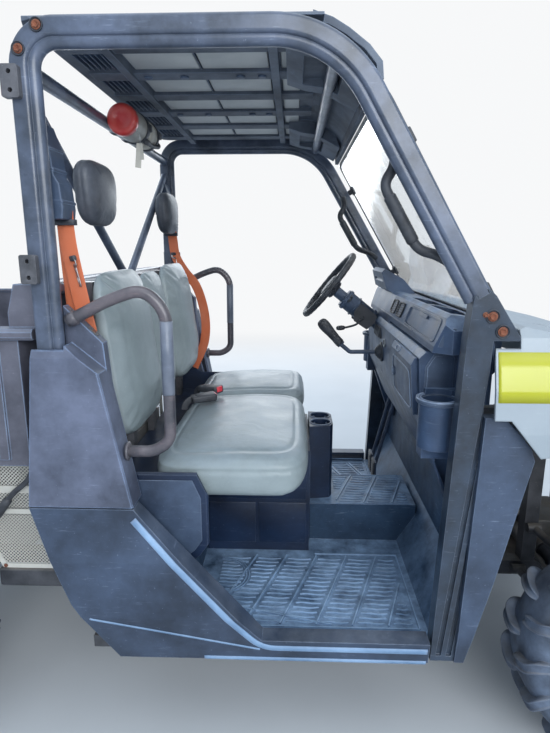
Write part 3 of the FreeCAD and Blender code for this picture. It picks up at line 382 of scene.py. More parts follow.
finishExtras = {
    "cagePaint": {"coat": 0.35},
    "tubePaint": {"coat": 0.3},
    "greyBody": {"coat": 0.25},
    "decalYellow": {"coat": 0.4},
    "castMetal": {"metal": 0.7},
    "rustySteel": {"metal": 0.25},
    "brightSteel": {"metal": 0.9},
    "exhaustSteel": {"metal": 0.8},
    "bottleRed": {"coat": 0.3},
    "seatVinyl": {"crease": 0.0035},
    "headVinyl": {"crease": 0.001},
}
finishSettings = {}
for finishName, row in finishRows.items():
    finishSettings[finishName] = dict(zip(finishColumns, row), **finishExtras.get(finishName, {}))

variants = {
    # rear side panels: a lighter copy of the black plastic, painted light for the side that faces the lamps,
    # with strong pale blue edges as painted highlight
    "litTowerPlastic": ("blackPlastic", {"color": (0.054, 0.064, 0.096), "worn": (0.142, 0.164, 0.24),
        "bevel": 0.006, "edge": (0.27, 0.38, 0.6), "edgeWearAndHighlight": 1.0}),
    # dash: the pale blue colour on its upper faces is painted top light
    "dashPlastic": ("blackPlastic", {"color": (0.022, 0.039, 0.078), "worn": (0.058, 0.102, 0.195),
        "dustAndTopLight": (0.34, 0.47, 0.68), "dustAndTopLightAmount": 0.85}),
    "roofPlastic": ("blackPlastic", {"color": (0.058, 0.07, 0.094), "worn": (0.148, 0.176, 0.226),
        "rough": (0.6, 0.8)}),
    # floor tread ridges: a lighter, bluer copy of the floor plastic with a pale blue top colour, painted
    # light and sheen on the raised ridges
    "treadPlastic": ("blackPlastic", {"color": (0.055, 0.1, 0.18), "worn": (0.19, 0.31, 0.49), "patch": 9.0,
        "dustAndTopLight": (0.47, 0.66, 0.9), "dustAndTopLightAmount": 0.8, "bevel": 0.0}),
    "rockerPlastic": ("blackPlastic", {"color": (0.02, 0.031, 0.054), "worn": (0.054, 0.081, 0.138)}),
    # seat base: a darker copy of the black plastic, painted shade for the part under the cushions
    "basePlastic": ("blackPlastic", {"color": (0.004, 0.01, 0.028), "worn": (0.01, 0.026, 0.07),
        "dustAndTopLightAmount": 0.15, "scuffAmount": 0.25, "edgeWearAndHighlight": 0.3}),
    # dash panels, cup rims and lid fittings: the pale blue edge colour at full strength, partly wear and
    # partly painted highlight
    "edgePlastic": ("blackPlastic", {"color": (0.034, 0.05, 0.084), "worn": (0.088, 0.128, 0.205),
        "bevel": 0.002, "edge": (0.42, 0.52, 0.7), "edgeWearAndHighlight": 1.0}),
    # pale blue bands on the rocker lips: painted highlight, with some wear
    "palePlastic": ("blackPlastic", {"color": (0.12, 0.215, 0.36), "worn": (0.28, 0.43, 0.64),
        "bevel": 0.002}),
    "postPaint": ("cagePaint", {"color": (0.01, 0.017, 0.029), "worn": (0.026, 0.044, 0.076)}),
    "wornTube": ("tubePaint", {"color": (0.034, 0.038, 0.048), "worn": (0.15, 0.125, 0.14), "patch": 8.0,
        "scuff": (0.38, 0.25, 0.235), "scuffAmount": 0.9}),
    "sleeveGrey": ("tubePaint", {"color": (0.11, 0.13, 0.175), "worn": (0.18, 0.205, 0.26)}),
    "lampRed": ("bottleRed", {"color": (0.38, 0.012, 0.014), "worn": (0.42, 0.03, 0.03), "coat": 0.6}),
    # near-black finish for the bolt recesses: painted shadow
    "cupShade": ("softGrip", {"color": (0.01, 0.013, 0.02), "worn": (0.022, 0.028, 0.04)}),
}
for variantName, (baseName, changes) in variants.items():
    finishSettings[variantName] = dict(finishSettings[baseName], **changes)


def ramp(tree, value, low, high, top=1.0):
    # 0 below low, top above high, straight between
    made = put(tree, "ShaderNodeMapRange", {"Value": value, "From Min": low, "From Max": high,
        "To Max": top})
    return made.outputs["Result"]


def newMaterial(name):
    # an empty material and its node tree
    material = bpy.data.materials.new(name)
    material.use_nodes = True
    material.node_tree.nodes.clear()
    return material, material.node_tree


def noise(tree, place, scale, detail, roughness=0.5, distortion=0.0):
    inputs = {"Vector": place, "Scale": scale, "Detail": detail, "Roughness": roughness,
        "Distortion": distortion}
    return put(tree, "ShaderNodeTexNoise", inputs).outputs[0]


def times(tree, a, b):
    return put(tree, "ShaderNodeMath", {0: a, 1: b}, operation="MULTIPLY").outputs[0]


def blendColor(tree, share, a, b):
    made = put(tree, "ShaderNodeMix", {0: share}, data_type="RGBA")
    for socket, value in ((made.inputs[6], a), (made.inputs[7], b)):
        if isinstance(value, bpy.types.NodeSocket):
            tree.links.new(value, socket)
        else:
            socket.default_value = (*value, 1)
    return made.outputs[2]


def makeFinish(name, s):
    # patchy base, streaked scuffs, pale edges that are partly wear and partly painted highlight, and on what
    # faces up a colour that is partly dust and partly painted top light, with a fine grain
    material, tree = newMaterial(name)
    coords = put(tree, "ShaderNodeTexCoord")
    place = coords.outputs["Object"]
    patchShare = ramp(tree, noise(tree, place, s["patch"], 7.0, 0.62), 0.36, 0.66)
    color = blendColor(tree, patchShare, s["color"], s["worn"])
    stretch = put(tree, "ShaderNodeMapping", {"Vector": place, "Rotation": (0.3, 0.5, 0.4),
        "Scale": (6.0, 6.0, 60.0)})
    streak = noise(tree, stretch.outputs[0], 2.5, 6.0, 0.7)
    streakShare = times(tree, ramp(tree, streak, 0.6, 0.74, s["scuffAmount"]), patchShare)
    speckShare = ramp(tree, noise(tree, place, 150.0, 3.0, 0.6), 0.68, 0.76, s["scuffAmount"])
    marks = put(tree, "ShaderNodeMath", {0: streakShare, 1: speckShare}, operation="MAXIMUM").outputs[0]
    color = blendColor(tree, marks, color, s["scuff"])
    # faces turned up take a colour that is partly dust and partly painted top light, pale blue on the
    # plastics and the seat vinyl
    facing = put(tree, "ShaderNodeSeparateXYZ", {0: coords.outputs["Normal"]})
    haze = noise(tree, place, 11.0, 8.0, 0.7)
    dustAndTopLightShare = times(tree, ramp(tree, facing.outputs["Z"], 0.15, 0.95, s["dustAndTopLightAmount"]),
        ramp(tree, haze, 0.3, 0.68))
    color = blendColor(tree, dustAndTopLightShare, color, s["dustAndTopLight"])
    normal = None
    if s["bevel"] > 0:
        rounded = put(tree, "ShaderNodeBevel", {"Radius": s["bevel"]}, samples=4)
        normal = rounded.outputs[0]
        flat = put(tree, "ShaderNodeNewGeometry")
        along = put(tree, "ShaderNodeVectorMath", {0: normal, 1: flat.outputs["True Normal"]},
            operation="DOT_PRODUCT")
        # rounded edges take the pale edge colour, partly wear and partly a painted highlight where light
        # catches the edge
        edgeWearAndHighlightShare = times(tree, ramp(tree, along.outputs["Value"], 0.985, 0.86, s["edgeWearAndHighlight"]),
            ramp(tree, haze, 0.28, 0.6))
        color = blendColor(tree, edgeWearAndHighlightShare, color, s["edge"])
    rough = put(tree, "ShaderNodeMapRange", {"Value": haze, "From Min": 0.3, "From Max": 0.7,
        "To Min": s["rough"][0], "To Max": s["rough"][1]})
    grain = noise(tree, place, s["grain"], 2.0)
    bump = put(tree, "ShaderNodeBump", {"Height": grain, "Strength": 0.6, "Distance": s["grainDepth"]})
    if normal is not None:
        tree.links.new(normal, bump.inputs["Normal"])
    if s.get("crease"):
        folds = noise(tree, place, 13.0, 4.0, distortion=1.2)
        bump = put(tree, "ShaderNodeBump", {"Height": folds, "Strength": 0.5, "Distance": s["crease"],
            "Normal": bump.outputs[0]})
    shader = put(tree, "ShaderNodeBsdfPrincipled",
        {"Base Color": color, "Roughness": rough.outputs["Result"], "Normal": bump.outputs[0],
        "Metallic": s.get("metal", 0.0), "Coat Weight": s.get("coat", 0.0), "Coat Roughness": 0.2})
    put(tree, "ShaderNodeOutputMaterial", {"Surface": shader.outputs[0]})
    finishes[name] = material


def makeWebbing():
    # woven belt on its own uv map: fine diagonal ribs both ways, edges a little darker
    material, tree = newMaterial("beltWeave")
    coords = put(tree, "ShaderNodeTexCoord")
    ribs = []
    for turn in (0.6, -0.6):
        aligned = put(tree, "ShaderNodeMapping", {"Vector": coords.outputs["UV"], "Rotation": (0, 0, turn)})
        wave = put(tree, "ShaderNodeTexWave", {"Vector": aligned.outputs[0], "Scale": 160.0,
            "Distortion": 0.4}, bands_direction="X")
        ribs.append(wave.outputs["Fac"])
    weave = put(tree, "ShaderNodeMath", {0: ribs[0], 1: ribs[1]}, operation="MAXIMUM").outputs[0]
    stain = noise(tree, coords.outputs["Object"], 9.0, 7.0)
    color = blendColor(tree, ramp(tree, stain, 0.38, 0.66), (0.86, 0.225, 0.085), (0.82, 0.32, 0.19))
    color = blendColor(tree, ramp(tree, weave, 0.0, 0.5, 0.35), (0.56, 0.125, 0.048), color)
    bump = put(tree, "ShaderNodeBump", {"Height": weave, "Strength": 0.7, "Distance": 0.0005})
    shader = put(tree, "ShaderNodeBsdfPrincipled", {"Base Color": color, "Roughness": 0.72,
        "Normal": bump.outputs[0], "Sheen Weight": 0.3})
    put(tree, "ShaderNodeOutputMaterial", {"Surface": shader.outputs[0]})
    finishes["beltWeave"] = material


def makeClear(name, tint, roughness, marks):
    # clear sheet with a haze of fine scratches
    material, tree = newMaterial(name)
    coords = put(tree, "ShaderNodeTexCoord")
    stretch = put(tree, "ShaderNodeMapping", {"Vector": coords.outputs["Object"],
        "Rotation": (0.2, 0.7, 0.3), "Scale": (4.0, 50.0, 9.0)})
    lines = noise(tree, stretch.outputs[0], 3.0, 8.0)
    rough = put(tree, "ShaderNodeMapRange", {"Value": lines, "From Min": 0.5, "From Max": 0.75,
        "To Min": roughness, "To Max": roughness + marks})
    shader = put(tree, "ShaderNodeBsdfPrincipled",
        {"Base Color": (*tint, 1), "Roughness": rough.outputs["Result"], "Transmission Weight": 1.0,
        "IOR": 1.49})
    put(tree, "ShaderNodeOutputMaterial", {"Surface": shader.outputs[0]})
    finishes[name] = material


for finishName, finishSetting in finishSettings.items():
    makeFinish(finishName, finishSetting)
makeWebbing()
makeClear("clearSheet", (0.96, 0.98, 0.98), 0.02, 0.12)
makeClear("lampClear", (0.97, 0.97, 0.97), 0.03, 0.05)
print("finishes made:", len(finishes))

nodeFinish = {
    "tyreRubber": ["tyre_front_left", "tyre_front_right", "tyre_rear_left", "tyre_rear_right"],
    "cagePaint": ["rops_side_hoops", "rops_cross_members"],
    "postPaint": ["rops_front_posts"],
    "litTowerPlastic": ["rear_side_panels"],
    "rockerPlastic": ["rocker_panels", "front_side_panels"],
    "basePlastic": ["seat_base"],
    "tubePaint": ["hip_bars", "grab_handles", "front_bumper", "seat_back_frame", "door_brackets"],
    "framePaint": ["rim_front_left", "rim_front_right", "rim_rear_left", "rim_rear_right", "frame_rails",
        "frame_crossmembers", "frame_posts", "frame_upper_rails", "skid_plate", "suspension_arms",
        "rear_bumper", "shock_absorbers"],
    "floorPlastic": ["floor_pan"],
    "dashPlastic": ["dash", "glove_box_lid"],
    "roofPlastic": ["roof_panel"],
    "blackPlastic": ["belt_retractors", "front_fascia", "steering_column", "driver_controls",
        "belt_buckles"],
    "bedPlastic": ["cargo_box", "tailgate"],
    "greyBody": ["front_fenders", "hood"],
    "castMetal": ["drivetrain", "knuckle_left", "knuckle_right", "rear_hub_carriers", "steering_rack",
        "radiator"],
    "clearSheet": ["windshield"],
    "lampClear": ["lamps"],
    "softGrip": ["steering_wheel"],
    "seatVinyl": ["seat_cushion_passenger", "seat_cushion_driver", "seat_backs"],
    "headVinyl": ["headrests"],
    "beltWeave": ["seat_belts"],
    "guardCream": ["side_guards"],
    "exhaustSteel": ["exhaust"],
    "bottleGrey": ["fire_extinguisher"],
}
for finishName, names in nodeFinish.items():
    for name in names:
        mesh = nodes[name].data
        mesh.materials.clear()
        mesh.materials.append(finishes[finishName])
print("frame nodes finished:", sum(len(names) for names in nodeFinish.values()))


# padded seats: each pad starts small, is pumped up as cloth with its seams held, and is capped

seatSettings = {
    "voxel": 0.009,
    "headVoxel": 0.006,
    "frames": 18,
    "pressure": 4.0,
    "limit": 0.022,
    "seamInset": 0.046,
    "seamWide": 0.0055,
    "seamDeep": 0.0042,
}


def loft(center, half, power, rings, order, count=112):
    # rings of (inset, along) on |u/a|^p + |v/b|^p = 1, with u = a sign(cos t) |cos t|^(2/p) and v likewise
    t = around(count)
    u = squared(np.cos(t), 2 / power)
    v = squared(np.sin(t), 2 / power)
    rings = np.asarray(rings, float)
    points = np.zeros((len(rings), count, 3))
    points[:, :, order[0]] = center[0] + (half[0] - rings[:, :1]) * u[None]
    points[:, :, order[1]] = center[1] + (half[1] - rings[:, :1]) * v[None]
    points[:, :, order[2]] = rings[:, 1:]
    return points.reshape(-1, 3), cappedGrid(len(rings), count)


def insetOf(points, center, half, power, order):
    # how far inside the outline a point lies: (1 - (|u/a|^p + |v/b|^p)^(1/p)) times the shorter half
    u = np.abs(points[:, order[0]] - center[0]) / half[0]
    v = np.abs(points[:, order[1]] - center[1]) / half[1]
    return (1 - (u ** power + v ** power) ** (1 / power)) * min(half)


def coordinates(mesh):
    flat = np.empty(len(mesh.vertices) * 3)
    mesh.vertices.foreach_get("co", flat)
    return flat.reshape(-1, 3)


def evenMesh(name, shape, voxel):
    # the closed start shape remeshed to even cells
    mesh = bpy.data.meshes.new(name)
    mesh.from_pydata(shape[0].tolist(), [], shape[1])
    body = linked(name, mesh)
    even = body.modifiers.new("even", "REMESH")
    even.mode = "VOXEL"
    even.voxel_size = voxel
    bpy.context.view_layer.update()
    made = bpy.data.meshes.new_from_object(body.evaluated_get(bpy.context.evaluated_depsgraph_get()))
    bpy.data.objects.remove(body)
    return made


def pumpUp(name, mesh, held, limit):
    # cloth under air pressure with the held points fixed; each point's travel is capped
    start = coordinates(mesh)
    body = linked(name, mesh)
    group = body.vertex_groups.new(name="held")
    group.add(np.nonzero(held)[0].tolist(), 1.0, "REPLACE")
    cloth = body.modifiers.new("air", "CLOTH")
    cloth.settings.use_pressure = True
    cloth.settings.uniform_pressure_force = seatSettings["pressure"]
    cloth.settings.effector_weights.gravity = 0.0
    cloth.settings.vertex_group_mass = "held"
    cloth.settings.quality = 4
    cloth.settings.bending_stiffness = 2.0
    cloth.collision_settings.use_collision = False
    for step in range(1, seatSettings["frames"] + 1):
        bpy.context.scene.frame_set(step)
    pumped = bpy.data.meshes.new_from_object(body.evaluated_get(bpy.context.evaluated_depsgraph_get()))
    moved = coordinates(pumped) - start
    bpy.context.scene.frame_set(1)
    bpy.data.objects.remove(body)
    bpy.data.meshes.remove(pumped)
    far = np.linalg.norm(moved, axis=1, keepdims=True)
    return start + moved * np.minimum(1, limit / np.maximum(far, 1e-9))


def addPad(name, mesh, points, body, material, replaced):
    # the finished points go back into the even mesh, smooth, with one subdivision
    mesh.vertices.foreach_set("co", points.ravel())
    mesh.update()
    mesh.polygons.foreach_set("use_smooth", np.ones(len(mesh.polygons), bool))
    pad = linked(name, mesh)
    mesh.materials.clear()
    mesh.materials.append(finishes[material])
    fine = pad.modifiers.new("fine", "SUBSURF")
    fine.levels = 1
    fine.render_levels = 1
    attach(pad, body)
    if replaced:
        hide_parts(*replaced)
    return pad


def dent(distance, wide, deep):
    # depth of a sewn groove at a distance from its line: deep exp(-(d/wide)^2)
    return deep * np.exp(-(distance / wide) ** 2)


def addCushion(name, y0, y1, body, replaced):
    low, high = 0.7683, 0.905
    center = (-0.015, (y0 + y1) / 2)
    half = (0.245, (y1 - y0) / 2 - 0.001)
    power = 6.5
    rings = [(0.1, low), (0.03, low), (0.01, low + 0.006), (0.004, low + 0.022), (0.004, high - 0.06),
        (0.008, high - 0.04), (0.022, high - 0.022), (0.044, high - 0.014), (0.1, high - 0.01)]
    shape = loft(center, half, power, rings, (0, 1, 2))
    shape[0][:, 2] += 0.03 * np.clip((shape[0][:, 0] - 0.14) / 0.08, 0,
        1) ** 2 * (shape[0][:, 2] < low + 0.05)
    mesh = evenMesh(name, shape, seatSettings["voxel"])
    start = coordinates(mesh)
    inset = insetOf(start, center, half, power, (0, 1))
    top = np.clip((start[:, 2] - high + 0.045) / 0.02, 0, 1)
    seam = np.abs(inset - seatSettings["seamInset"]) + (1 - top) * 0.2
    boxing = np.abs(start[:, 2] - (high - 0.052)) + np.clip(inset - 0.03, 0, 1)
    held = (seam < 0.006) | (start[:, 2] < low + 0.003) | (boxing < 0.005)
    points = pumpUp(name + "_air", mesh, held, seatSettings["limit"])
    crown = np.clip(1 - ((start[:, 0] - center[0]) / half[0]) ** 2, 0, 1)
    crown = crown * np.clip(1 - ((start[:, 1] - center[1]) / half[1]) ** 2, 0, 1)
    points[:, 2] += 0.008 * crown * top
    points[:, 2] -= 0.012 * np.clip((0.02 - start[:, 0]) / 0.25, 0, 1) * top
    points[:, 2] -= dent(seam, seatSettings["seamWide"], seatSettings["seamDeep"])
    # the top slumps a little where people sit, with fine hollows left in the vinyl
    wave = np.sin(start[:, 0] * 31 + 2 * np.sin(start[:, 1] * 9)) * np.sin(start[:, 1] * 17 + start[:,
        0] * 7)
    points[:, 2] += 0.0016 * wave * crown * top
    outward = unit(np.stack([start[:, 0] - center[0], start[:, 1] - center[1], 0 * inset], -1))
    points -= outward * dent(boxing, 0.005, 0.0035)[:, None]
    points[:, 0] = np.clip(points[:, 0], -0.268, 0.236)
    points[:, 1] = np.clip(points[:, 1], y0 - 0.004, y1 + 0.0015)
    points[:, 2] = np.clip(points[:, 2], low, high + 0.01)
    return addPad(name, mesh, points, body, "seatVinyl", replaced)


backLine = {
    "z": (0.925, 1.02, 1.3, 1.42, 1.44),
    "front": (-0.286, -0.3, -0.33, -0.352, -0.366),
    "rear": (-0.388, -0.392, -0.402, -0.404, -0.398),
}


def backFaces(z, setBack):
    # x of the pad's front and rear at each height
    front = np.interp(z, backLine["z"], backLine["front"]) - 0.01 - setBack
    return front, np.interp(z, backLine["z"], backLine["rear"]) + 0.003


def addBack(name, y0, y1, setBack, top, replaced):
    # a leaning pad: worked out flat as (depth, y, z) with depth from -1 to 1, then laid on the frame's line
    bottom = 0.928
    center = ((y0 + y1) / 2, (bottom + top) / 2)
    half = ((y1 - y0) / 2 - 0.001, (top - bottom) / 2)
    power = 5.0
    rings = [(0.11, -1.0), (0.02, -1.0), (0.006, -0.8), (0.0, -0.4), (0.0, 0.25), (0.008, 0.66),
        (0.026, 0.9), (0.06, 0.98), (0.12, 1.0)]
    shape = loft(center, half, power, rings, (1, 2, 0))
    front, rear = backFaces(shape[0][:, 2], setBack)
    depth = shape[0][:, 0].copy()
    shape[0][:, 0] = (front + rear) / 2 + depth * (front - rear) / 2
    mesh = evenMesh(name, shape, seatSettings["voxel"])
    start = coordinates(mesh)
    inset = insetOf(start, center, half, power, (1, 2))
    frontHere, rearHere = backFaces(start[:, 2], setBack)
    facing = np.clip((start[:, 0] - frontHere + 0.022) / 0.012, 0, 1)
    boxing = np.abs(start[:, 0] - (frontHere - 0.024)) + np.clip(inset - 0.02, 0, 1)
    bolster = np.abs(inset - 0.075) + (1 - facing) * 0.2 + 0.3 * (start[:, 2] > top - 0.02)
    held = (boxing < 0.005) | (start[:, 0] < rearHere + 0.004)
    points = pumpUp(name + "_air", mesh, held, seatSettings["limit"])
    crown = np.clip(1 - ((start[:, 1] - center[0]) / half[0]) ** 2, 0, 1) * np.clip(inset / 0.12, 0, 1)
    points[:, 0] += (0.006 * crown + 0.01 * np.exp(-((start[:, 2] - 1.06) / 0.09) ** 2) * crown) * facing
    outward = unit(np.stack([0 * inset, start[:, 1] - center[0], start[:, 2] - center[1]], -1))
    points -= outward * dent(boxing, 0.005, 0.0035)[:, None]
    points[:, 0] -= dent(bolster, 0.012, 0.0018)
    wave = np.sin(start[:, 2] * 23 + 3 * np.sin(start[:, 1] * 8)) * np.sin(start[:, 1] * 19)
    points[:, 0] += 0.0014 * wave * crown * facing
    points[:, 1] = np.clip(points[:, 1], y0 - 0.003, y1 + 0.003)
    return addPad(name, mesh, points, "chassis", "seatVinyl", replaced)


def addHeadrest(name, side, replaced):
    center = (side * 0.45, 1.655)
    half = (0.113, 0.092)
    power = 3.4
    rings = [(0.08, -0.44), (0.045, -0.443), (0.012, -0.438), (0.002, -0.426), (0.0, -0.412),
        (0.003, -0.396), (0.014, -0.384), (0.034, -0.378), (0.075, -0.377)]
    shape = loft(center, half, power, rings, (1, 2, 0), 72)
    taper = 1 - 0.12 * np.clip((center[1] - shape[0][:, 2]) / half[1], -1, 1)
    shape[0][:, 1] = center[0] + (shape[0][:, 1] - center[0]) * taper
    mesh = evenMesh(name, shape, seatSettings["headVoxel"])
    start = coordinates(mesh)
    seam = np.abs(start[:, 0] + 0.412)
    held = seam < 0.003
    points = pumpUp(name + "_air", mesh, held, 0.01)
    outward = unit(np.stack([0 * seam, start[:, 1] - center[0], start[:, 2] - center[1]], -1))
    rim = np.clip(0.02 - insetOf(start, center, half, power, (1, 2)), 0, 0.02) / 0.02
    points -= outward * (dent(seam, 0.0035, 0.0028) * rim)[:, None]
    points[:, 0] = np.clip(points[:, 0], -0.4455, -0.37)
    points[:, 2] = np.clip(points[:, 2], 1.56, 1.752)
    return addPad(name, mesh, points, "chassis", "headVinyl", replaced)


addCushion("cushionPassenger", -0.62, 0.147, "seat_passenger", ["seat_cushion_passenger"])
addCushion("cushionDriver", 0.153, 0.62, "seat_driver", ["seat_cushion_driver"])
addBack("backRight", -0.6, -0.153, 0.0, 1.44, ["seat_backs"])
addBack("backMiddle", -0.147, 0.147, 0.018, 1.415, [])
addBack("backLeft", 0.153, 0.6, 0.0, 1.44, [])
addHeadrest("headrestRight", -1, ["headrests"])
addHeadrest("headrestLeft", 1, [])
print("seats padded")


# belts: webbing from the retractors past the backs, latch tongues and stalks

beltSettings = {"wide": 0.046, "thick": 0.0022}


def strapProfile(wide, thick):
    # a flat closed section with round edges: (w/2 cos a, t/2 sin a) squared off along its width
    a = around(20)
    return np.stack([wide / 2 * squared(np.cos(a), 0.35), thick / 2 * np.sin(a)], -1)


beltLines = {
    "near": [(-0.437, 1.598), (-0.437, 1.54), (-0.434, 1.44), (-0.43, 1.34), (-0.424, 1.24), (-0.415, 1.1),
        (-0.404, 0.98), (-0.398, 0.905)],
    "nearReturn": [(-0.436, 1.56), (-0.431, 1.5), (-0.418, 1.42), (-0.404, 1.34), (-0.386, 1.24),
        (-0.37, 1.13), (-0.358, 1.02), (-0.35, 0.93), (-0.349, 0.885)],
    "far": [(-0.437, 1.598), (-0.431, 1.54), (-0.42, 1.46), (-0.378, 1.385), (-0.324, 1.315),
        (-0.291, 1.215), (-0.279, 1.115), (-0.288, 1.025), (-0.318, 0.95), (-0.347, 0.89)],
}


def addBelt(name, line, y, bulge):
    # webbing on edge to the seat's side, its width fore and aft
    # y + bulge sin^2(pi t) keeps it off the pads
    side = math.copysign(1, y)
    path = smoothLine([(x, 0, z) for x, z in line], 130)
    t = np.linspace(0, 1, len(path))
    path[:, 1] = y + side * bulge * np.sin(np.pi * t) ** 2
    section = strapProfile(beltSettings["wide"], beltSettings["thick"])
    points, faces = carry(path, section, up=(0, 1, 0))
    run = np.concatenate([[0], np.cumsum(np.linalg.norm(np.diff(path, axis=0), axis=1))])
    uv = np.stack([np.repeat(run, len(section)), np.tile(section[:, 0], len(run))], -1)
    belt = addPiece(name, points, faces, "chassis", "belt_webbing", "beltWeave", uv=uv)
    print("webbing", name, round(float(run[-1]), 3), "m")
    return belt


nearBelt = addBelt("beltRight", beltLines["near"], -0.6265, 0.0)
addBelt("beltRightReturn", beltLines["nearReturn"], -0.6305, 0.006)
addBelt("beltLeft", beltLines["far"], 0.63, 0.006)
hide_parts("seat_belts")


# tyres: a ribbed carcass with two rows of deep curved lugs, each with a raised rim round a sunk face

tyreSettings = {
    "radius": 0.343,
    "crown": 0.317,
    "bore": 0.1785,
    "lugs": 16,
    "wheels": {"front": (1.17, 0.685, 0.229), "rear": (-1.12, 0.672, 0.254)},
}


def carcass(half):
    # (radius, across) half section from the bead over the shoulder to the crown, turned about the axle
    r = tyreSettings["crown"]
    bore = tyreSettings["bore"]
    side = [(bore, half - 0.03), (bore + 0.004, half - 0.022), (bore + 0.012, half - 0.018),
        (0.204, half - 0.015), (0.208, half - 0.011), (0.214, half - 0.011), (0.218, half - 0.014),
        (0.236, half - 0.009), (0.256, half - 0.007), (0.272, half - 0.01), (0.288, half - 0.017),
        (0.302, half - 0.028), (0.311, half - 0.044), (r - 0.001, half * 0.45), (r, 0.0)]
    section = side + [(radius, -across) for radius, across in side[-2::-1]]
    inner = [(0.212, 0.03 - half), (0.212, half - 0.03)]
    profile = np.array(section + inner)
    a = around(128)
    points = np.stack([profile[None, :, 0] * np.sin(a)[:, None], np.broadcast_to(profile[None, :, 1],
        (128, len(profile))), profile[None, :, 0] * np.cos(a)[:, None]], -1)
    return points.reshape(-1, 3), gridFaces(128, len(profile), closeRows=True, closeCols=True)


def lugShape(half):
    # rows along the lug: slant round the tyre, across, radius, outward (across, up), width, height
    rows = np.array([(-0.024, 0.004, 0.314, 0.0, 1.0, 0.02, 0.016), (-0.02, half * 0.25, 0.315, 0.0, 1.0,
        0.025, 0.027), (-0.014, half * 0.5, 0.314, 0.05, 1.0, 0.029, 0.028),
        (-0.003, half * 0.72, 0.309, 0.2, 0.98, 0.033, 0.028), (0.009, half - 0.022, 0.298, 0.5, 0.87,
        0.037, 0.024), (0.014, half - 0.016, 0.281, 0.85, 0.53, 0.036, 0.016),
        (0.014, half - 0.011, 0.26, 0.98, 0.2, 0.032, 0.01), (0.011, half - 0.012, 0.24, 1.0, 0.05, 0.024,
        0.005)])
    line = smoothLine(rows, 22)
    out = unit(np.stack([line[:, 3], line[:, 4]], -1))
    # section over (share of the width, share of the height): walls, rims at the top, sunk face between
    section = np.array([(-0.5, -0.25), (-0.5, 0.8), (-0.45, 1.0), (-0.36, 1.0), (-0.28, 0.8), (0.0, 0.74),
        (0.28, 0.8), (0.36, 1.0), (0.45, 1.0), (0.5, 0.8), (0.5, -0.25)])
    u = np.linspace(0, 1, len(line))
    ends = np.clip(np.minimum(u, 1 - u) / 0.07, 0, 1) ** 0.5
    lift = section[None, :, 1] * (line[:, 6] * (0.35 + 0.65 * ends))[:, None]
    across = line[:, 1][:, None] + out[:, :1] * lift
    radius = np.minimum(line[:, 2][:, None] + out[:, 1:] * lift, tyreSettings["radius"] - 0.0006)
    angle = (line[:, 0][:, None] + section[None, :, 0] * (line[:, 5] * (0.6 + 0.4 * ends))[:, None]) / 0.31
    return angle, across, radius, cappedGrid(len(line), len(section))


def addTyre(name, node, place, half, side, body):
    parts = [carcass(half)]
    angle, across, radius, lugFaces = lugShape(half)
    step = 2 * np.pi / tyreSettings["lugs"]
    for row in (0, 1):
        for k in range(tyreSettings["lugs"]):
            a = angle + step * (k + row * 0.5)
            points = np.stack([radius * np.sin(a), across * (1 - 2 * row), radius * np.cos(a)],
                -1).reshape(-1, 3)
            parts.append((points, lugFaces))
    points, faces = stack(parts)
    points = points * np.array([1, side, 1]) + np.array([place[0], side * place[1], tyreSettings["radius"]])
    tyre = addPiece(name, points, faces, body, "tyre", "tyreRubber")
    addBevel(tyre, 0.0022)
    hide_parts(node)


for end, (x, y, wide) in tyreSettings["wheels"].items():
    for side, sideName in ((1, "Left"), (-1, "Right")):
        corner = "%s_%s" % (end, sideName.lower())
        addTyre("tyre%s%s" % (end.capitalize(), sideName), "tyre_" + corner, (x, y), wide / 2, side,
            "wheel_" + corner)
print("tyres made")


# floor tread: short waved cross bars in slanting columns, ridges between them and a border

floorSettings = {
    "top": 0.36,
    "tunnelTop": 0.514,
    "height": 0.0032,
    "wide": 0.0066,
    "pitch": 0.0228,
    "column": 0.112,
    "lean": 0.34,
    "sink": 0.0008,
}


def ridge(points, wide, height):
    # a low bar with sloping sides along a line, its foot sunk into the floor
    sink = floorSettings["sink"]
    section = [(-wide / 2, -sink), (-wide * 0.28, height), (wide * 0.28, height), (wide / 2, -sink)]
    return carry(points, section)


def crossBar(x0, x1, y, z, phase):
    # y + 2.2 mm sin(2 pi share + phase), with the ends a little lower
    share = np.linspace(0, 1, 11)
    points = np.stack([x0 + (x1 - x0) * share, y + 0.0022 * np.sin(2 * np.pi * share + phase),
        0 * share + z], -1)
    return ridge(points, floorSettings["wide"], floorSettings["height"])


def treadField(x0, x1, y0, y1, z, rear):
    s = floorSettings
    parts = []
    columns = int((x1 - x0) / s["column"]) + 3
    for k in range(-3, columns):
        base = x0 + k * s["column"]
        ends = []
        for y in np.linspace(y0, y1, 15):
            x = base + s["lean"] * (y - y0)
            if x0 < x < x1:
                ends.append((x, y, z))
        if len(ends) > 2:
            parts.append(ridge(ends, 0.0075, s["height"] * 1.25))
        for row in range(int((y1 - y0) / s["pitch"])):
            y = y0 + (row + 0.5) * s["pitch"]
            left = max(base + s["lean"] * (y - y0) + 0.014, x0 + 0.004)
            right = min(base + s["lean"] * (y - y0) + s["column"] - 0.014, x1 - 0.004)
            if rear is not None and (left - rear[0]) ** 2 + (y - rear[1]) ** 2 < rear[2] ** 2:
                left = rear[0] + math.sqrt(max(rear[2] ** 2 - (y - rear[1]) ** 2, 0)) + 0.006
            if right - left > 0.022:
                parts.append(crossBar(left, right, y, z, 0.9 * (row % 2)))
    return parts


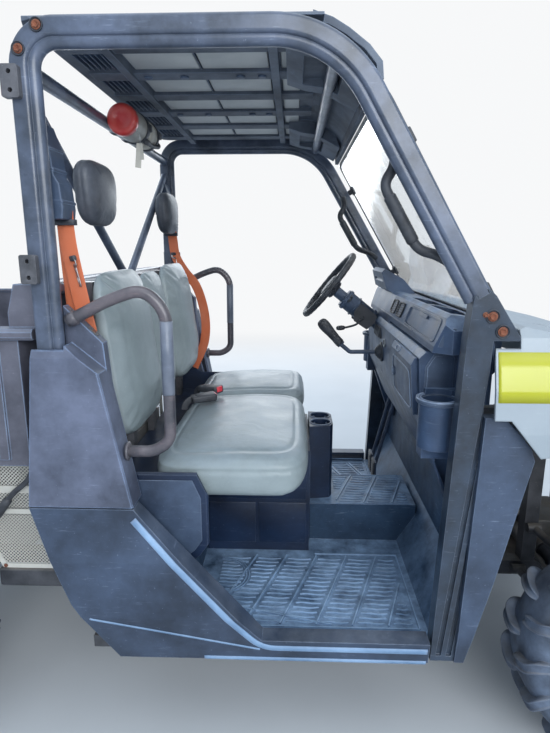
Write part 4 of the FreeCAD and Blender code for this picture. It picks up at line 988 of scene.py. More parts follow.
def floorTread():
    s = floorSettings
    z = s["top"]
    half = (-0.395, 0.11)
    parts = treadField(-0.085, 0.555, -0.64, -0.262, z, (-0.085, half[0], half[1]))
    border = [(-0.1, -0.652, z), (0.568, -0.652, z), (0.568, -0.25, z), (0.262, -0.25, z)]
    parts += [ridge(border[k:k + 2], 0.007, 0.004) for k in range(3)]
    # the worn half circle at the rear edge, with its own straight bars
    a = np.linspace(-np.pi / 2, np.pi / 2, 41)
    for radius in (0.11, 0.1):
        arc = np.stack([-0.086 + radius * np.cos(a), half[0] + radius * np.sin(a), 0 * a + z], -1)
        parts.append(ridge(arc, 0.005, 0.0032))
    for y in np.arange(half[0] - 0.078, half[0] + 0.08, 0.0195):
        reach = math.sqrt(0.092 ** 2 - (y - half[0]) ** 2)
        parts.append(crossBar(-0.08, -0.086 + reach, y, z, 0.5))
    parts.append(ridge([(-0.06, -0.548, z), (0.3, -0.64, z)], 0.006, 0.004))
    tunnel = treadField(0.345, 0.64, -0.128, 0.128, s["tunnelTop"], None)
    for y in (-0.133, 0.133):
        tunnel.append(ridge([(0.348, y, s["tunnelTop"]), (0.64, y, s["tunnelTop"])], 0.005, 0.003))
    addPiece("floorTread", *stack([both(stack(parts))] + tunnel), "chassis", "black_plastic",
        "treadPlastic", smooth=False)


floorTread()
print("floor tread made")


# side guards: sheet steel with rows of small eight-sided holes, framed by plain strips

guardSettings = {
    "y": 0.603,
    "thick": 0.0018,
    "pitch": 0.008,
    "hole": 0.0034,
    "low": 0.512,
    "notch": 0.706,
    "high": 0.884,
    "rear": -1.0,
    "front": -0.516,
    "diagonal": 0.70711,
    "outline": [(-1.0, 0.706), (-0.83, 0.706), (-0.735, 0.512), (-0.516, 0.512), (-0.516, 0.884),
        (-1.0, 0.884)],
}


def insideGuard(x, z, margin):
    # inside the outline with room to its edges
    # its lower rear edge slopes from (-0.830, 0.706) to (-0.735, 0.512)
    s = guardSettings
    ahead = x < s["front"] - margin
    lower = (z > s["low"] + margin) & (z <= s["notch"]) & ahead
    slope = x - (-0.83 + (s["notch"] - z) * 0.095 / 0.194) > margin * 1.1
    upper = (z > s["notch"]) & (z < s["high"] - margin) & (x > s["rear"] + margin) & ahead
    return (lower & slope) | (upper & ((z > s["notch"] + margin) | (x > -0.82)))


def perforated(side):
    # diamond cells on a lattice turned 45 degrees; each is four corners round an eight-sided hole, both faces
    s = guardSettings
    half = s["pitch"] * s["diagonal"]
    i, j = np.meshgrid(np.arange(-90, 90), np.arange(-90, 90), indexing="ij")
    x = (-0.76 + (i + j) * half).ravel()
    z = (0.7 + (j - i) * half).ravel()
    keep = insideGuard(x, z, 0.01)
    keep &= (np.abs(z - 0.708) > 0.01) & (np.abs(z - 0.781) > 0.013)
    x, z = x[keep], z[keep]
    corner = np.array([(half, 0), (0, half), (-half, 0), (0, -half)])
    a = np.arange(8) * np.pi / 4
    hole = s["hole"] * np.stack([np.cos(a), np.sin(a)], -1)
    flat = np.concatenate([corner, hole])
    count = len(flat)
    cell = np.zeros((len(x), 2, count, 3))
    cell[..., 0] = x[:, None, None] + flat[None, None, :, 0]
    cell[..., 2] = z[:, None, None] + flat[None, None, :, 1]
    cell[:, 0, :, 1] = side * (s["y"] + s["thick"] / 2)
    cell[:, 1, :, 1] = side * (s["y"] - s["thick"] / 2)
    front = []
    for k in range(4):
        n = (k + 1) % 4
        h = 4 + 2 * k
        front += [[k, n, 4 + (2 * n) % 8, h + 1], [k, h + 1, h]]
    back = [[v + count for v in face[::-1]] for face in front]
    walls = [[4 + k, 4 + (k + 1) % 8, count + 4 + (k + 1) % 8, count + 4 + k] for k in range(8)]
    sides = [[k, count + k, count + (k + 1) % 4, (k + 1) % 4] for k in range(4)]
    one = front + back + walls + sides
    faces = [[v + 2 * count * k for v in face] for k in range(len(x)) for face in one]
    return cell.reshape(-1, 3), faces


def strip(start, end, wide, y, thick):
    # a flat bar between two points in the guard's plane, its width to the left of its run
    start, end = np.array(start), np.array(end)
    along = unit(end - start)
    left = np.array([-along[1], along[0]]) * wide
    outline = [start, end, end + left, start + left]
    return prism(outline, "xz", y - thick / 2, y + thick / 2)


def addGuard(name, side, replaced):
    s = guardSettings
    corners = s["outline"]
    parts = [perforated(side)]
    for k in range(len(corners)):
        parts.append(strip(corners[k], corners[(k + 1) % len(corners)], 0.016, side * s["y"],
            s["thick"] + 0.0008))
    parts.append(strip((-0.822, 0.7), (-0.52, 0.7), 0.016, side * s["y"], s["thick"] + 0.0006))
    parts.append(strip((-0.996, 0.769), (-0.52, 0.769), 0.024, side * s["y"], s["thick"] + 0.0006))
    guard = addPiece(name, *stack(parts), "chassis", "guard_cream", "guardCream", smooth=False)
    if replaced:
        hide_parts(*replaced)


addGuard("guardRight", -1, ["side_guards"])
addGuard("guardLeft", 1, [])
print("guards made")


# fender stickers: blank, laid on the two side faces of each front fender

decalSettings = {"x": (0.69, 1.08), "heights": (1.245, 1.2, 1.15, 1.12), "gap": 0.0004, "thick": 0.0003}


def addDecal(name, side):
    # rows at the set heights, y following the fender's face; the top edge follows the fender's falling line
    s = decalSettings
    x = np.linspace(s["x"][0], s["x"][1], 40)
    top = np.minimum(0, np.interp(x, (0.93, 1.276), (0.012, -0.068)))
    rows = np.array(s["heights"])
    grid = []
    for layer in (s["gap"], s["gap"] + s["thick"]):
        z = rows[:, None] + top[None] * np.linspace(1, 0.8, len(rows))[:, None]
        y = np.interp(-z, -np.array([1.28, 1.15, 1.04]), np.array([0.735, 0.77, 0.786])) + layer
        grid.append(np.stack([np.broadcast_to(x, z.shape), side * y, z], -1).reshape(-1, 3))
    cols = len(x)
    face = gridFaces(len(rows), cols)
    count = len(grid[0])
    rim = []
    edge = ([k for k in range(cols)] + [r * cols + cols - 1 for r in range(1,
        len(rows))] + [(len(rows) - 1) * cols + k for k in range(cols - 2, -1,
        -1)] + [r * cols for r in range(len(rows) - 2, 0, -1)])
    for k in range(len(edge)):
        a, b = edge[k], edge[(k + 1) % len(edge)]
        rim.append([a, b, count + b, count + a])
    faces = face[:, ::-1].tolist() + (face + count).tolist() + rim
    addPiece(name, np.concatenate(grid), faces, "chassis", None, "decalYellow")


addDecal("decalRight", -1)
addDecal("decalLeft", 1)


# fastenings: bolt heads in recesses painted dark as shadow, on the cage joints and the front posts

def bolt(center, axis, radius, high, dish=0.0):
    # a washer and a six-sided head with a chamfered top
    washer = turned([(radius * 1.3, 0.0), (radius * 1.3, 0.0016), (radius * 1.15, 0.0022),
        (0.2 * radius, 0.0022)], center, axis, 24)
    head = turned([(radius, 0.0015), (radius, high * 0.8), (radius * 0.86, high),
        (radius * 0.35, high - dish), (radius * 0.1, high - dish)], center, axis, 6)
    return stack([washer, head])


def recess(center, axis, radius, deep):
    # a round cup: raised rim and a floor; the cups are finished very dark as painted shadow
    return turned([(radius * 0.5, -0.002), (radius * 1.04, -0.002), (radius * 1.08, deep * 0.6),
        (radius * 1.0, deep), (radius * 0.9, deep * 0.6), (radius * 0.86, 0.0006), (radius * 0.2, 0.0005)],
        center, axis, 40)


boltSettings = {
    "face": 0.74,
    "places": [(0.67, 1.334, 0.0095), (0.698, 1.296, 0.0095), (0.652, 1.338, 0.0055),
        (-0.419, 1.999, 0.0085), (-0.466, 1.95, 0.0085)],
}


def fastenings():
    # places are (x, z, radius of the head); only the large heads have a cup
    heads, cups = [], []
    face = boltSettings["face"]
    for x, z, radius in boltSettings["places"]:
        heads.append(bolt((x, -face - 0.0004, z), (0, -1, 0), radius, 0.0065, 0.0025))
        if radius > 0.006:
            cups.append(recess((x, -face, z), (0, -1, 0), radius * 1.75, 0.0042))
    addPiece("cageBolts", *both(stack(heads)), "chassis", None, "rustySteel", smooth=False)
    # the cups take a near-black finish: painted shadow in the recesses
    addPiece("cageCups", *both(stack(cups)), "chassis", "cage_paint", "cupShade")


fastenings()
print("decals and fastenings made")


# belt tongue, buckles and stalks

def plateRing(outer, inner, plane, start, end):
    # a flat plate with a hole: outline points and hole points in equal number, both faces and both edges
    outer, inner = np.asarray(outer, float), np.asarray(inner, float)
    order = {"xz": (0, 2, 1), "yz": (1, 2, 0), "xy": (0, 1, 2)}[plane]
    count = len(outer)
    points = np.zeros((4, count, 3))
    for row, (flat, depth) in enumerate(((outer, start), (inner, start), (inner, end), (outer, end))):
        points[row, :, order[0]] = flat[:, 0]
        points[row, :, order[1]] = flat[:, 1]
        points[row, :, order[2]] = depth
    return points.reshape(-1, 3), gridFaces(4, count, closeRows=True, closeCols=True)


def roundedOutline(center, half, power, count=40):
    # |u/a|^p + |v/b|^p = 1
    t = around(count)
    return np.stack([center[0] + half[0] * squared(np.cos(t), 2 / power),
        center[1] + half[1] * squared(np.sin(t), 2 / power)], -1)


def ovalRing(outer, inner, power, start, end, count=40, center=(0, 0), plane="xy"):
    # a plate between two such outlines round one center
    return plateRing(roundedOutline(center, outer, power, count), roundedOutline(center, inner, power,
        count), plane, start, end)


def tongueShape():
    # the steel tongue lies on the belt's inner face, its slot round the webbing, its blade pointing down
    frame = plateRing(roundedOutline((0, 0), (0.03, 0.014), 3.5),
        roundedOutline((0, 0.001), (0.024, 0.0045), 5.0), "xy", -0.0012, 0.0012)
    blade = plateRing(roundedOutline((0.006, -0.036), (0.013, 0.03), 5.0), roundedOutline((0.006, -0.046),
        (0.007, 0.008), 4.0), "xy", -0.0012, 0.0012)
    return stack([frame, blade]), roundedBlock((-0.029, 0.004, -0.006), (0.029, 0.019, 0.006), 0.004, 3)


def placeShape(shape, origin, right, up):
    # local x along right, local y along up, local z along their cross product
    points, faces = shape
    right, up = unit(np.asarray(right, float)), unit(np.asarray(up, float))
    out = np.cross(right, up)
    return np.asarray(origin) + points[:, :1] * right + points[:, 1:2] * up + points[:, 2:] * out, faces


tongueSettings = {"place": (-0.42, 0.637, 1.462), "right": (0.55, 0.83, 0.05), "up": (-0.2, 0.0, 0.98)}

for side, sideName in ((-1, "Right"), (1, "Left")):
    steel, grip = tongueShape()
    place, right, up = [np.array(value) * (1, side, 1) for value in tongueSettings.values()]
    addPiece("tongue" + sideName, *placeShape(steel, place, right, up), "chassis", None, "brightSteel")
    addPiece("tongueGrip" + sideName, *placeShape(grip, place, right, up), "chassis", "buckle_plastic",
        "softGrip")


def buckle(center, turn, tip):
    # a tapering case, a red button let into its end and a stalk down between the pads
    case = roundedBlock((-0.05, -0.0275, -0.014), (0.05, 0.0275, 0.014), 0.008, 6)
    points = case[0].copy()
    points[:, 1] *= 1 + 0.08 * np.clip(points[:, 0] / 0.05, -1, 1)
    points[:, 2] *= 1 - 0.14 * np.clip(-points[:, 0] / 0.05, -1, 1)
    button = roundedBlock((0.03, -0.02, -0.01), (0.0518, 0.02, 0.0147), 0.006, 5)
    slotted = roundedBlock((-0.03, -0.018, 0.011), (0.019, 0.018, 0.015), 0.002, 3)
    line = smoothLine([(-0.044, 0, 0), (-0.06, 0, -0.006), (-0.074, 0, -0.02), (-0.08, 0, -0.04)], 16)
    stalk = carry(line, strapProfile(0.026, 0.005), up=(0, 1, 0))
    right = np.array([math.cos(turn) * math.cos(tip), math.sin(turn) * math.cos(tip), math.sin(tip)])
    side = np.array([-math.sin(turn), math.cos(turn), 0.0])
    shapes = (stack([(points, case[1]), slotted]), button, stalk)
    return [placeShape(shape, center, right, side) for shape in shapes]


# (center, turn about the vertical, tip upwards) of each
bucklePlaces = [((-0.182, -0.048, 0.919), 0.42, 0.03), ((-0.176, 0.088, 0.919), -0.5, 0.03)]


def addBuckles():
    cases, buttons, stalks = zip(*[buckle(*place) for place in bucklePlaces])
    main = addPiece("buckleCases", *stack(cases), "seat_passenger", "buckle_plastic", "softGrip")
    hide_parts("belt_buckles")
    addPiece("buckleButtons", *stack(buttons), "seat_passenger", None, "buttonRed")
    addPiece("buckleStalks", *stack(stalks), "seat_passenger", "buckle_plastic", "softGrip")


addBuckles()
print("belt hardware made")


# tubes, rings and strips used by the small parts below

def bendPath(corners, cut, steps=7):
    # straight runs, each corner replaced by the curve (1-t)^2 a + 2 t (1-t) corner + t^2 b
    corners = np.asarray(corners, float)
    points = [corners[:1]]
    t = np.linspace(0, 1, steps)[:, None]
    for before, corner, after in zip(corners[:-2], corners[1:-1], corners[2:]):
        reach = min(cut, np.linalg.norm(before - corner) * 0.48, np.linalg.norm(after - corner) * 0.48)
        a = corner + unit(before - corner) * reach
        b = corner + unit(after - corner) * reach
        points.append((1 - t) ** 2 * a + 2 * t * (1 - t) * corner + t ** 2 * b)
    points.append(corners[-1:])
    return np.vstack(points)


def ringOf(profile, center, axis, count=36):
    # a closed (radius, along) profile turned about an axis, open in the middle
    points = turned(profile, center, axis, count)[0]
    return points, gridFaces(len(profile), count, closeRows=True, closeCols=True)


def between(start, end, profile, count=20):
    # a (radius, along) profile turned about the line from start to end
    start, end = np.asarray(start, float), np.asarray(end, float)
    return turned(profile, start, unit(end - start), count, (0.31, 0.77, 0.2))


# hand rails: smooth bent tubes with a worn sleeve and round feet

railSettings = {
    "hip": [(-0.419, 1.312), (-0.3, 1.372), (-0.215, 1.398), (-0.158, 1.34), (-0.16, 0.985),
        (-0.205, 0.952), (-0.2815, 0.952)],
    "hipY": 0.706,
    "hipRadius": 0.0162,
    "grip": [(0.592, 0.014, 0.6765), (0.511, 0.033, 0.672), (0.442, 0.087, 0.668), (0.18, 0.088, 0.668),
        (0.158, 0.041, 0.67), (0.105, 0.015, 0.6765)],
    "gripRadius": 0.0131,
}


def addRails():
    s = railSettings
    line = bendPath([(x, -s["hipY"], z) for x, z in s["hip"]], 0.075, 12)
    bar = carry(line, circle(s["hipRadius"], 24), up=(0, 1, 0))
    foot = turned([(0.017, -0.006), (0.026, -0.004), (0.0265, 0.001), (0.019, 0.004), (0.017, 0.004)],
        (-0.2785, -s["hipY"], 0.952), (1, 0, 0), 28)
    collar = turned([(0.0164, -0.01), (0.019, -0.006), (0.019, 0.008), (0.0164, 0.012)],
        (-0.405, -s["hipY"], 1.319), (0.894, 0, 0.45), 28)
    rails = addPiece("hipRails", *both(stack([bar, foot, collar])), "chassis", "cage_paint", "wornTube")
    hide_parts("hip_bars")
    sleeve = ringOf([(0.0163, 0.0), (0.0168, 0.0), (0.0171, 0.003), (0.0171, 0.197), (0.0168, 0.2),
        (0.0163, 0.2)], (-0.1597, -s["hipY"], 1.115), (0.0056, 0, 1), 28)
    addPiece("railSleeves", *both(sleeve), "chassis", "cage_paint", "sleeveGrey")
    # the grip stands off the sloping post: share of the way up, distance behind it, y
    corners = [(0.645 - 0.367 * share - back, -y, 1.385 + 0.615 * share) for share, back, y in s["grip"]]
    line = bendPath(corners, 0.03, 8)
    grip = carry(line, circle(s["gripRadius"], 20), up=(0, 1, 0))
    low, high = np.array(corners[3]), np.array(corners[2])
    rubber = [(0.0132, 0.022), (0.0152, 0.024), (0.016, 0.028)]
    for step in np.linspace(0.034, 0.14, 12):
        rubber += [(0.0163, step), (0.0156, step + 0.0035), (0.0163, step + 0.007)]
    rubber += [(0.0158, 0.152), (0.0132, 0.155)]
    sleeve = between(low, high, rubber, 24)
    grips = addPiece("postGrips", *both(stack([grip, sleeve])), "chassis", "cage_paint", "softGrip")
    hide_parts("grab_handles")


addRails()


# steering wheel and column fittings

wheelSettings = {"center": (0.334, 0.36, 1.337), "axis": (-0.78043, 0.0, 0.62524), "radius": 0.165,
    "rim": 0.0138}


def addSteeringWheel():
    s = wheelSettings
    center, axis = np.array(s["center"]), np.array(s["axis"])
    across = np.array([0.0, 1.0, 0.0])
    down = np.cross(axis, across)
    # rim: radius 165 mm, its tube swelling a little 30 times round for the fingers
    a = around(180)
    path = center + s["radius"] * (np.cos(a)[:, None] * across + np.sin(a)[:, None] * down)
    rim = carry(path, circle(s["rim"], 16), up=axis, closed=True, scale=1 + 0.03 * np.sin(30 * a))
    parts = [rim]
    for angle in (0.0, 180.0, 90.0):
        out = math.cos(math.radians(angle)) * across + math.sin(math.radians(angle)) * down
        t = np.linspace(0, 1, 12)
        rise = -0.02 + 0.016 * t + 0.006 * np.sin(np.pi * t)
        spoke = center + out * (0.03 + 0.128 * t)[:, None] + axis * rise[:, None]
        parts.append(carry(spoke, strapProfile(0.036, 0.01), up=axis,
            scale=1.22 - 0.52 * np.sin(np.pi * t / 2)))
    hub = turned([(0.006, -0.042), (0.036, -0.042), (0.042, -0.038), (0.044, -0.02), (0.052, -0.012),
        (0.054, -0.002), (0.05, 0.005), (0.04, 0.0085), (0.038, 0.007), (0.02, 0.0095), (0.003, 0.0102)],
        center, axis, 48)
    parts.append(hub)
    wheel = addPiece("steeringRim", *stack(parts), "steering_wheel", "steering_grip", "softGrip")
    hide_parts("steering_wheel")


def addColumn():
    center, axis = np.array(wheelSettings["center"]), np.array(wheelSettings["axis"])
    shroud = []
    for distance, wide in ((0.098, 0.014), (0.15, 0.006), (0.232, 0.018)):
        place = center - axis * distance
        shroud.append(ringOf([(0.0415, 0.0), (0.046, 0.0), (0.0475, 0.002), (0.0475, wide - 0.002),
            (0.046, wide), (0.0415, wide)], place, -axis, 40))
    # side plates of the tilt bracket with their bolt, and the tilt lever below
    place = center - axis * 0.205
    down = np.cross(axis, (0.0, 1.0, 0.0))
    plates = []
    for side in (-1, 1):
        plate = prism([(-0.045, -0.03), (0.05, -0.03), (0.06, 0.0), (0.05, 0.046), (-0.02, 0.052),
            (-0.045, 0.02)], "xy", -0.0025, 0.0025)
        plates.append(placeShape(plate, place + np.array([0, side * 0.048, 0]), -axis, down))
        plates.append(bolt(place + down * 0.018 + np.array([0, side * 0.0505, 0]), (0, side, 0), 0.0075,
            0.008))
    addPiece("columnRings", *stack(shroud), "chassis", "black_plastic", "blackPlastic")
    addPiece("tiltBracket", *stack(plates), "chassis", "frame_paint", "framePaint", smooth=False)
    start = place + np.array([0.0, -0.052, 0.0]) + down * 0.03
    line = smoothLine([start, start + np.array([-0.02, -0.014, -0.018]),
        start + np.array([-0.06, -0.018, -0.03]), start + np.array([-0.09, -0.018, -0.034])], 24)
    lever = carry(line, circle(0.0048, 12), up=(0, 1, 0))
    knob = between(line[-1] + np.array([0.02, 0, 0.002]), line[-1] - np.array([0.03, 0, 0.002]),
        [(0.0048, 0.0), (0.009, 0.004), (0.011, 0.016), (0.0105, 0.03), (0.007, 0.038), (0.001, 0.04)], 20)
    stalkStart = center - axis * 0.11 + np.array([0, -0.044, 0])
    stalk = carry(smoothLine([stalkStart, stalkStart + np.array([0.004, -0.05, 0.012]),
        stalkStart + np.array([0.002, -0.105, 0.03])], 16), strapProfile(0.013, 0.009), up=axis)
    addPiece("columnLevers", *stack([lever, knob, stalk]), "chassis", "steering_grip", "softGrip")
    # range lever: a rounded handle over the lever's end and a ribbed boot where it leaves the dash
    handle = between((0.378 - 0.004, 0.15, 1.101 + 0.0045), (0.29, 0.15, 1.2),
        [(0.0176, 0.0), (0.019, 0.006), (0.0182, 0.03), (0.02, 0.062), (0.0232, 0.09), (0.0238, 0.108),
        (0.0212, 0.122), (0.015, 0.13), (0.002, 0.133)], 28)
    boot = turned([(0.042, -0.004), (0.042, 0.003), (0.036, 0.006), (0.03, 0.007), (0.032, 0.011),
        (0.026, 0.013), (0.027, 0.017), (0.02, 0.019), (0.021, 0.023), (0.014, 0.026), (0.0095, 0.03)],
        (0.548, 0.15, 1.072), (-1, 0, 0), 32)
    addPiece("rangeLever", *stack([handle, boot]), "chassis", "steering_grip", "softGrip")


addSteeringWheel()
addColumn()
print("rails, steering wheel and column made")


# dash fittings: cup rims, door panels with raised edges, latch, switches and key

dashSettings = {"cup": (0.589, 0.604, 1.078), "cupRadius": 0.054, "sideFace": 0.544}


def addDash():
    x, y, z = dashSettings["cup"]
    r = dashSettings["cupRadius"]
    rims = [ringOf([(r - 0.0072, 0.0), (r - 0.0072, 0.005), (r - 0.005, 0.0078), (r - 0.002, 0.006),
        (r, 0.006), (r + 0.004, 0.0095), (r + 0.0085, 0.008), (r + 0.0095, 0.0), (r + 0.007, -0.006),
        (r + 0.0005, -0.008), (r + 0.0005, 0.0)], (x, -y, z), (0, 0, 1), 64),
        ringOf([(r - 0.0074, -0.06), (r - 0.01, -0.058), (r - 0.01, -0.052), (r - 0.0074, -0.05)],
        (x, -y, z), (0, 0, 1), 64)]
    addPiece("cupRims", *both(stack(rims)), "chassis", "black_plastic", "edgePlastic")
    # raised panels: an outline in the plane of the dash end, with a lower inner field
    face = dashSettings["sideFace"]
    lower = [(0.56, 1.086), (0.56, 1.16), (0.584, 1.2), (0.64, 1.205), (0.649, 1.196), (0.649, 1.086)]
    panel = prism(lower, "xz", -face, -face - 0.004)
    middle = np.mean(lower, axis=0)
    inner = prism(middle + (np.array(lower) - middle) * 0.84, "xz", -face - 0.0035, -face - 0.0056)
    along, up = np.array([0.8321, -0.5547, 0.0]), np.array([0.0, 0.0, 1.0])
    flap = [(-0.01, -0.036), (0.004, 0.0), (0.016, 0.026), (0.046, 0.026), (0.042, -0.036)]
    cheek = placeShape(prism(flap, "xy", -0.001, 0.0035), (0.578, -0.612, 1.262), along, up)
    cheekIn = placeShape(prism(np.array([0.022, -0.006]) + (np.array(flap) - np.array([0.022, -0.006]))
        * 0.76, "xy", 0.003, 0.0052), (0.578, -0.612, 1.262), along, up)
    panels = addPiece("dashPanels", *both(stack([panel, inner, cheek, cheekIn])), "chassis",
        "black_plastic", "edgePlastic", smooth=False)
    addBevel(panels, 0.0016)
    # raised frame, handle bar and lower ridge of the upper door, on the sloping face
    slope = unit(np.array([0.594 - 0.565, 0.0, 1.312 - 1.233]))
    origin = np.array([0.5795, -0.3825, 1.2725])
    frame = ovalRing((0.204, 0.037), (0.196, 0.031), 9.0, -0.001, 0.0024, 64)
    upper = placeShape(frame, origin, (0, -1, 0), slope)
    slot = placeShape(roundedBlock((-0.05, -0.006, -0.001), (0.05, 0.006, 0.003), 0.003, 4),
        origin + slope * 0.022, (0, -1, 0), slope)
    ridgeLow = placeShape(roundedBlock((-0.33, -0.003, -0.002), (0.33, 0.003, 0.0022), 0.002, 3),
        (0.5655, 0.0, 1.2345), (0, -1, 0), slope)
    addPiece("upperDoor", *stack([upper, slot, ridgeLow]), "chassis", "black_plastic", "edgePlastic",
        smooth=False)
    # vents, switches and key on the middle of the dash
    vents = []
    for y in (0.06, -0.06):
        center = np.array([0.5795, y, 1.274])
        frame = ovalRing((0.045, 0.029), (0.039, 0.023), 5.0, -0.001, 0.005)
        vents.append(placeShape(frame, center, (0, -1, 0), slope))
        for k in range(5):
            vents.append(placeShape(roundedBlock((-0.039, -0.0018, -0.001), (0.039, 0.0018, 0.0036), 0.001,
                2), center + slope * (0.009 * (k - 2)), (0, -1, 0), slope))
    switches = []
    for k in range(4):
        center = np.array([0.544, 0.165 + 0.034 * k, 1.15])
        switches.append(roundedBlock(center - (0.006, 0.0135, 0.023), center + (0.004, 0.0135, 0.023),
            0.003, 4))
        rocker = roundedBlock(center - (0.0105, 0.01, 0.018), center - (0.002, -0.01, -0.018), 0.003, 4)
        tilt = (rocker[0][:, 2:] - center[2]) * 0.14
        switches.append((rocker[0] + np.concatenate([tilt, 0 * tilt, 0 * tilt], 1), rocker[1]))
    addPiece("ventsAndSwitches", *stack(vents + switches), "chassis", "black_plastic", "softGrip")
    key = turned([(0.016, -0.002), (0.016, 0.004), (0.014, 0.006), (0.01, 0.006), (0.01, 0.011),
        (0.008, 0.013), (0.002, 0.013)], (0.5435, 0.455, 1.165), (-1, 0, 0), 28)
    blade = roundedBlock((0.506, 0.4535, 1.155), (0.533, 0.4565, 1.175), 0.0014, 3)
    socket = turned([(0.017, -0.002), (0.017, 0.003), (0.0135, 0.005), (0.0125, 0.001), (0.002, 0.001)],
        (0.5455, 0.06, 1.125), (-1, 0, 0), 28)
    addPiece("keySwitch", *stack([key, blade, socket]), "chassis", None, "brightSteel")
    # glove box: round latch, finger hollow and a raised inner field on the lid
    out = np.array([-0.99761, 0.0, -0.06914])
    run = np.array([0.06914, 0.0, -0.99761])
    top = np.array([0.542, 0.0, 1.186])
    latch = turned([(0.0165, -0.003), (0.0165, 0.004), (0.0145, 0.006), (0.0125, 0.0045), (0.004, 0.0045),
        (0.0035, 0.0075), (0.001, 0.0075)], top + run * 0.105 + out * 0.018 + (0, -0.232, 0), out, 32)
    field = placeShape(ovalRing((0.14, 0.065), (0.1345, 0.0595), 9.0, -0.001, 0.002, 64),
        top + run * 0.108 + out * 0.0178 + (0, -0.36, 0), (0, -1, 0), -unit(run * 0.156 - out * 0.004))
    bevel = unit(run * 0.02 + out * 0.012)
    normal = unit(out * 0.02 - run * 0.012)
    hollow = placeShape(ovalRing((0.034, 0.01), (0.029, 0.007), 2.6, -0.001, 0.0018),
        top + run * 0.014 + out * 0.0142 + (0, -0.3, 0), np.cross(bevel, normal), bevel)
    addPiece("lidFittings", *stack([latch, field, hollow]), "glove_box_lid", "black_plastic", "edgePlastic")


addDash()
print("dash fittings made")


# roof underside: pale panels between the ribs, ladder fins at the rear; fire bottle in its clamps

roofSettings = {
    "under": 2.022,
    "bays": [(-0.52, -0.37), (-0.29, -0.14), (-0.06, 0.09), (0.17, 0.32), (0.4, 0.55)],
    "spans": [(-0.298, -0.105), (-0.097, 0.098), (0.134, 0.19)],
}


def addRoofLining():
    s = roofSettings
    panels, fins = [], []
    for y0, y1 in s["bays"]:
        for x0, x1 in s["spans"]:
            panels.append(roundedBlock((x0, y0, s["under"] - 0.0075), (x1, y1, s["under"] - 0.0002), 0.0034,
                4))
        for x in np.arange(-0.432, -0.338, 0.0155):
            fins.append(roundedBlock((x, y0 + 0.01, s["under"] - 0.013),
                (x + 0.0045, y1 - 0.01, s["under"] - 0.0002), 0.0015, 2))
        fins.append(roundedBlock((-0.103, y0, s["under"] - 0.011), (-0.099, y1, s["under"] - 0.0002),
            0.0012, 2))
    addPiece("roofPanels", *stack(panels), "chassis", "black_plastic", "roofGrey")
    # small round bosses in two rows along the ribs
    for x in (-0.27, -0.16, 0.01, 0.075):
        for y in (-0.33, 0.13):
            fins.append(turned([(0.013, -0.001), (0.013, 0.004), (0.01, 0.006), (0.006, 0.0055),
                (0.001, 0.005)], (x, y, 2.0058), (0, 0, -1), 20))
    addPiece("roofFins", *stack(fins), "chassis", "black_plastic", "blackPlastic")


# tags are (turn, lean, length)
bottleSettings = {
    "x": -0.4017,
    "z": 1.92,
    "bands": (-0.048, 0.09),
    "tags": [(0.35, -0.12, 0.078), (-0.3, 0.05, 0.052)],
}


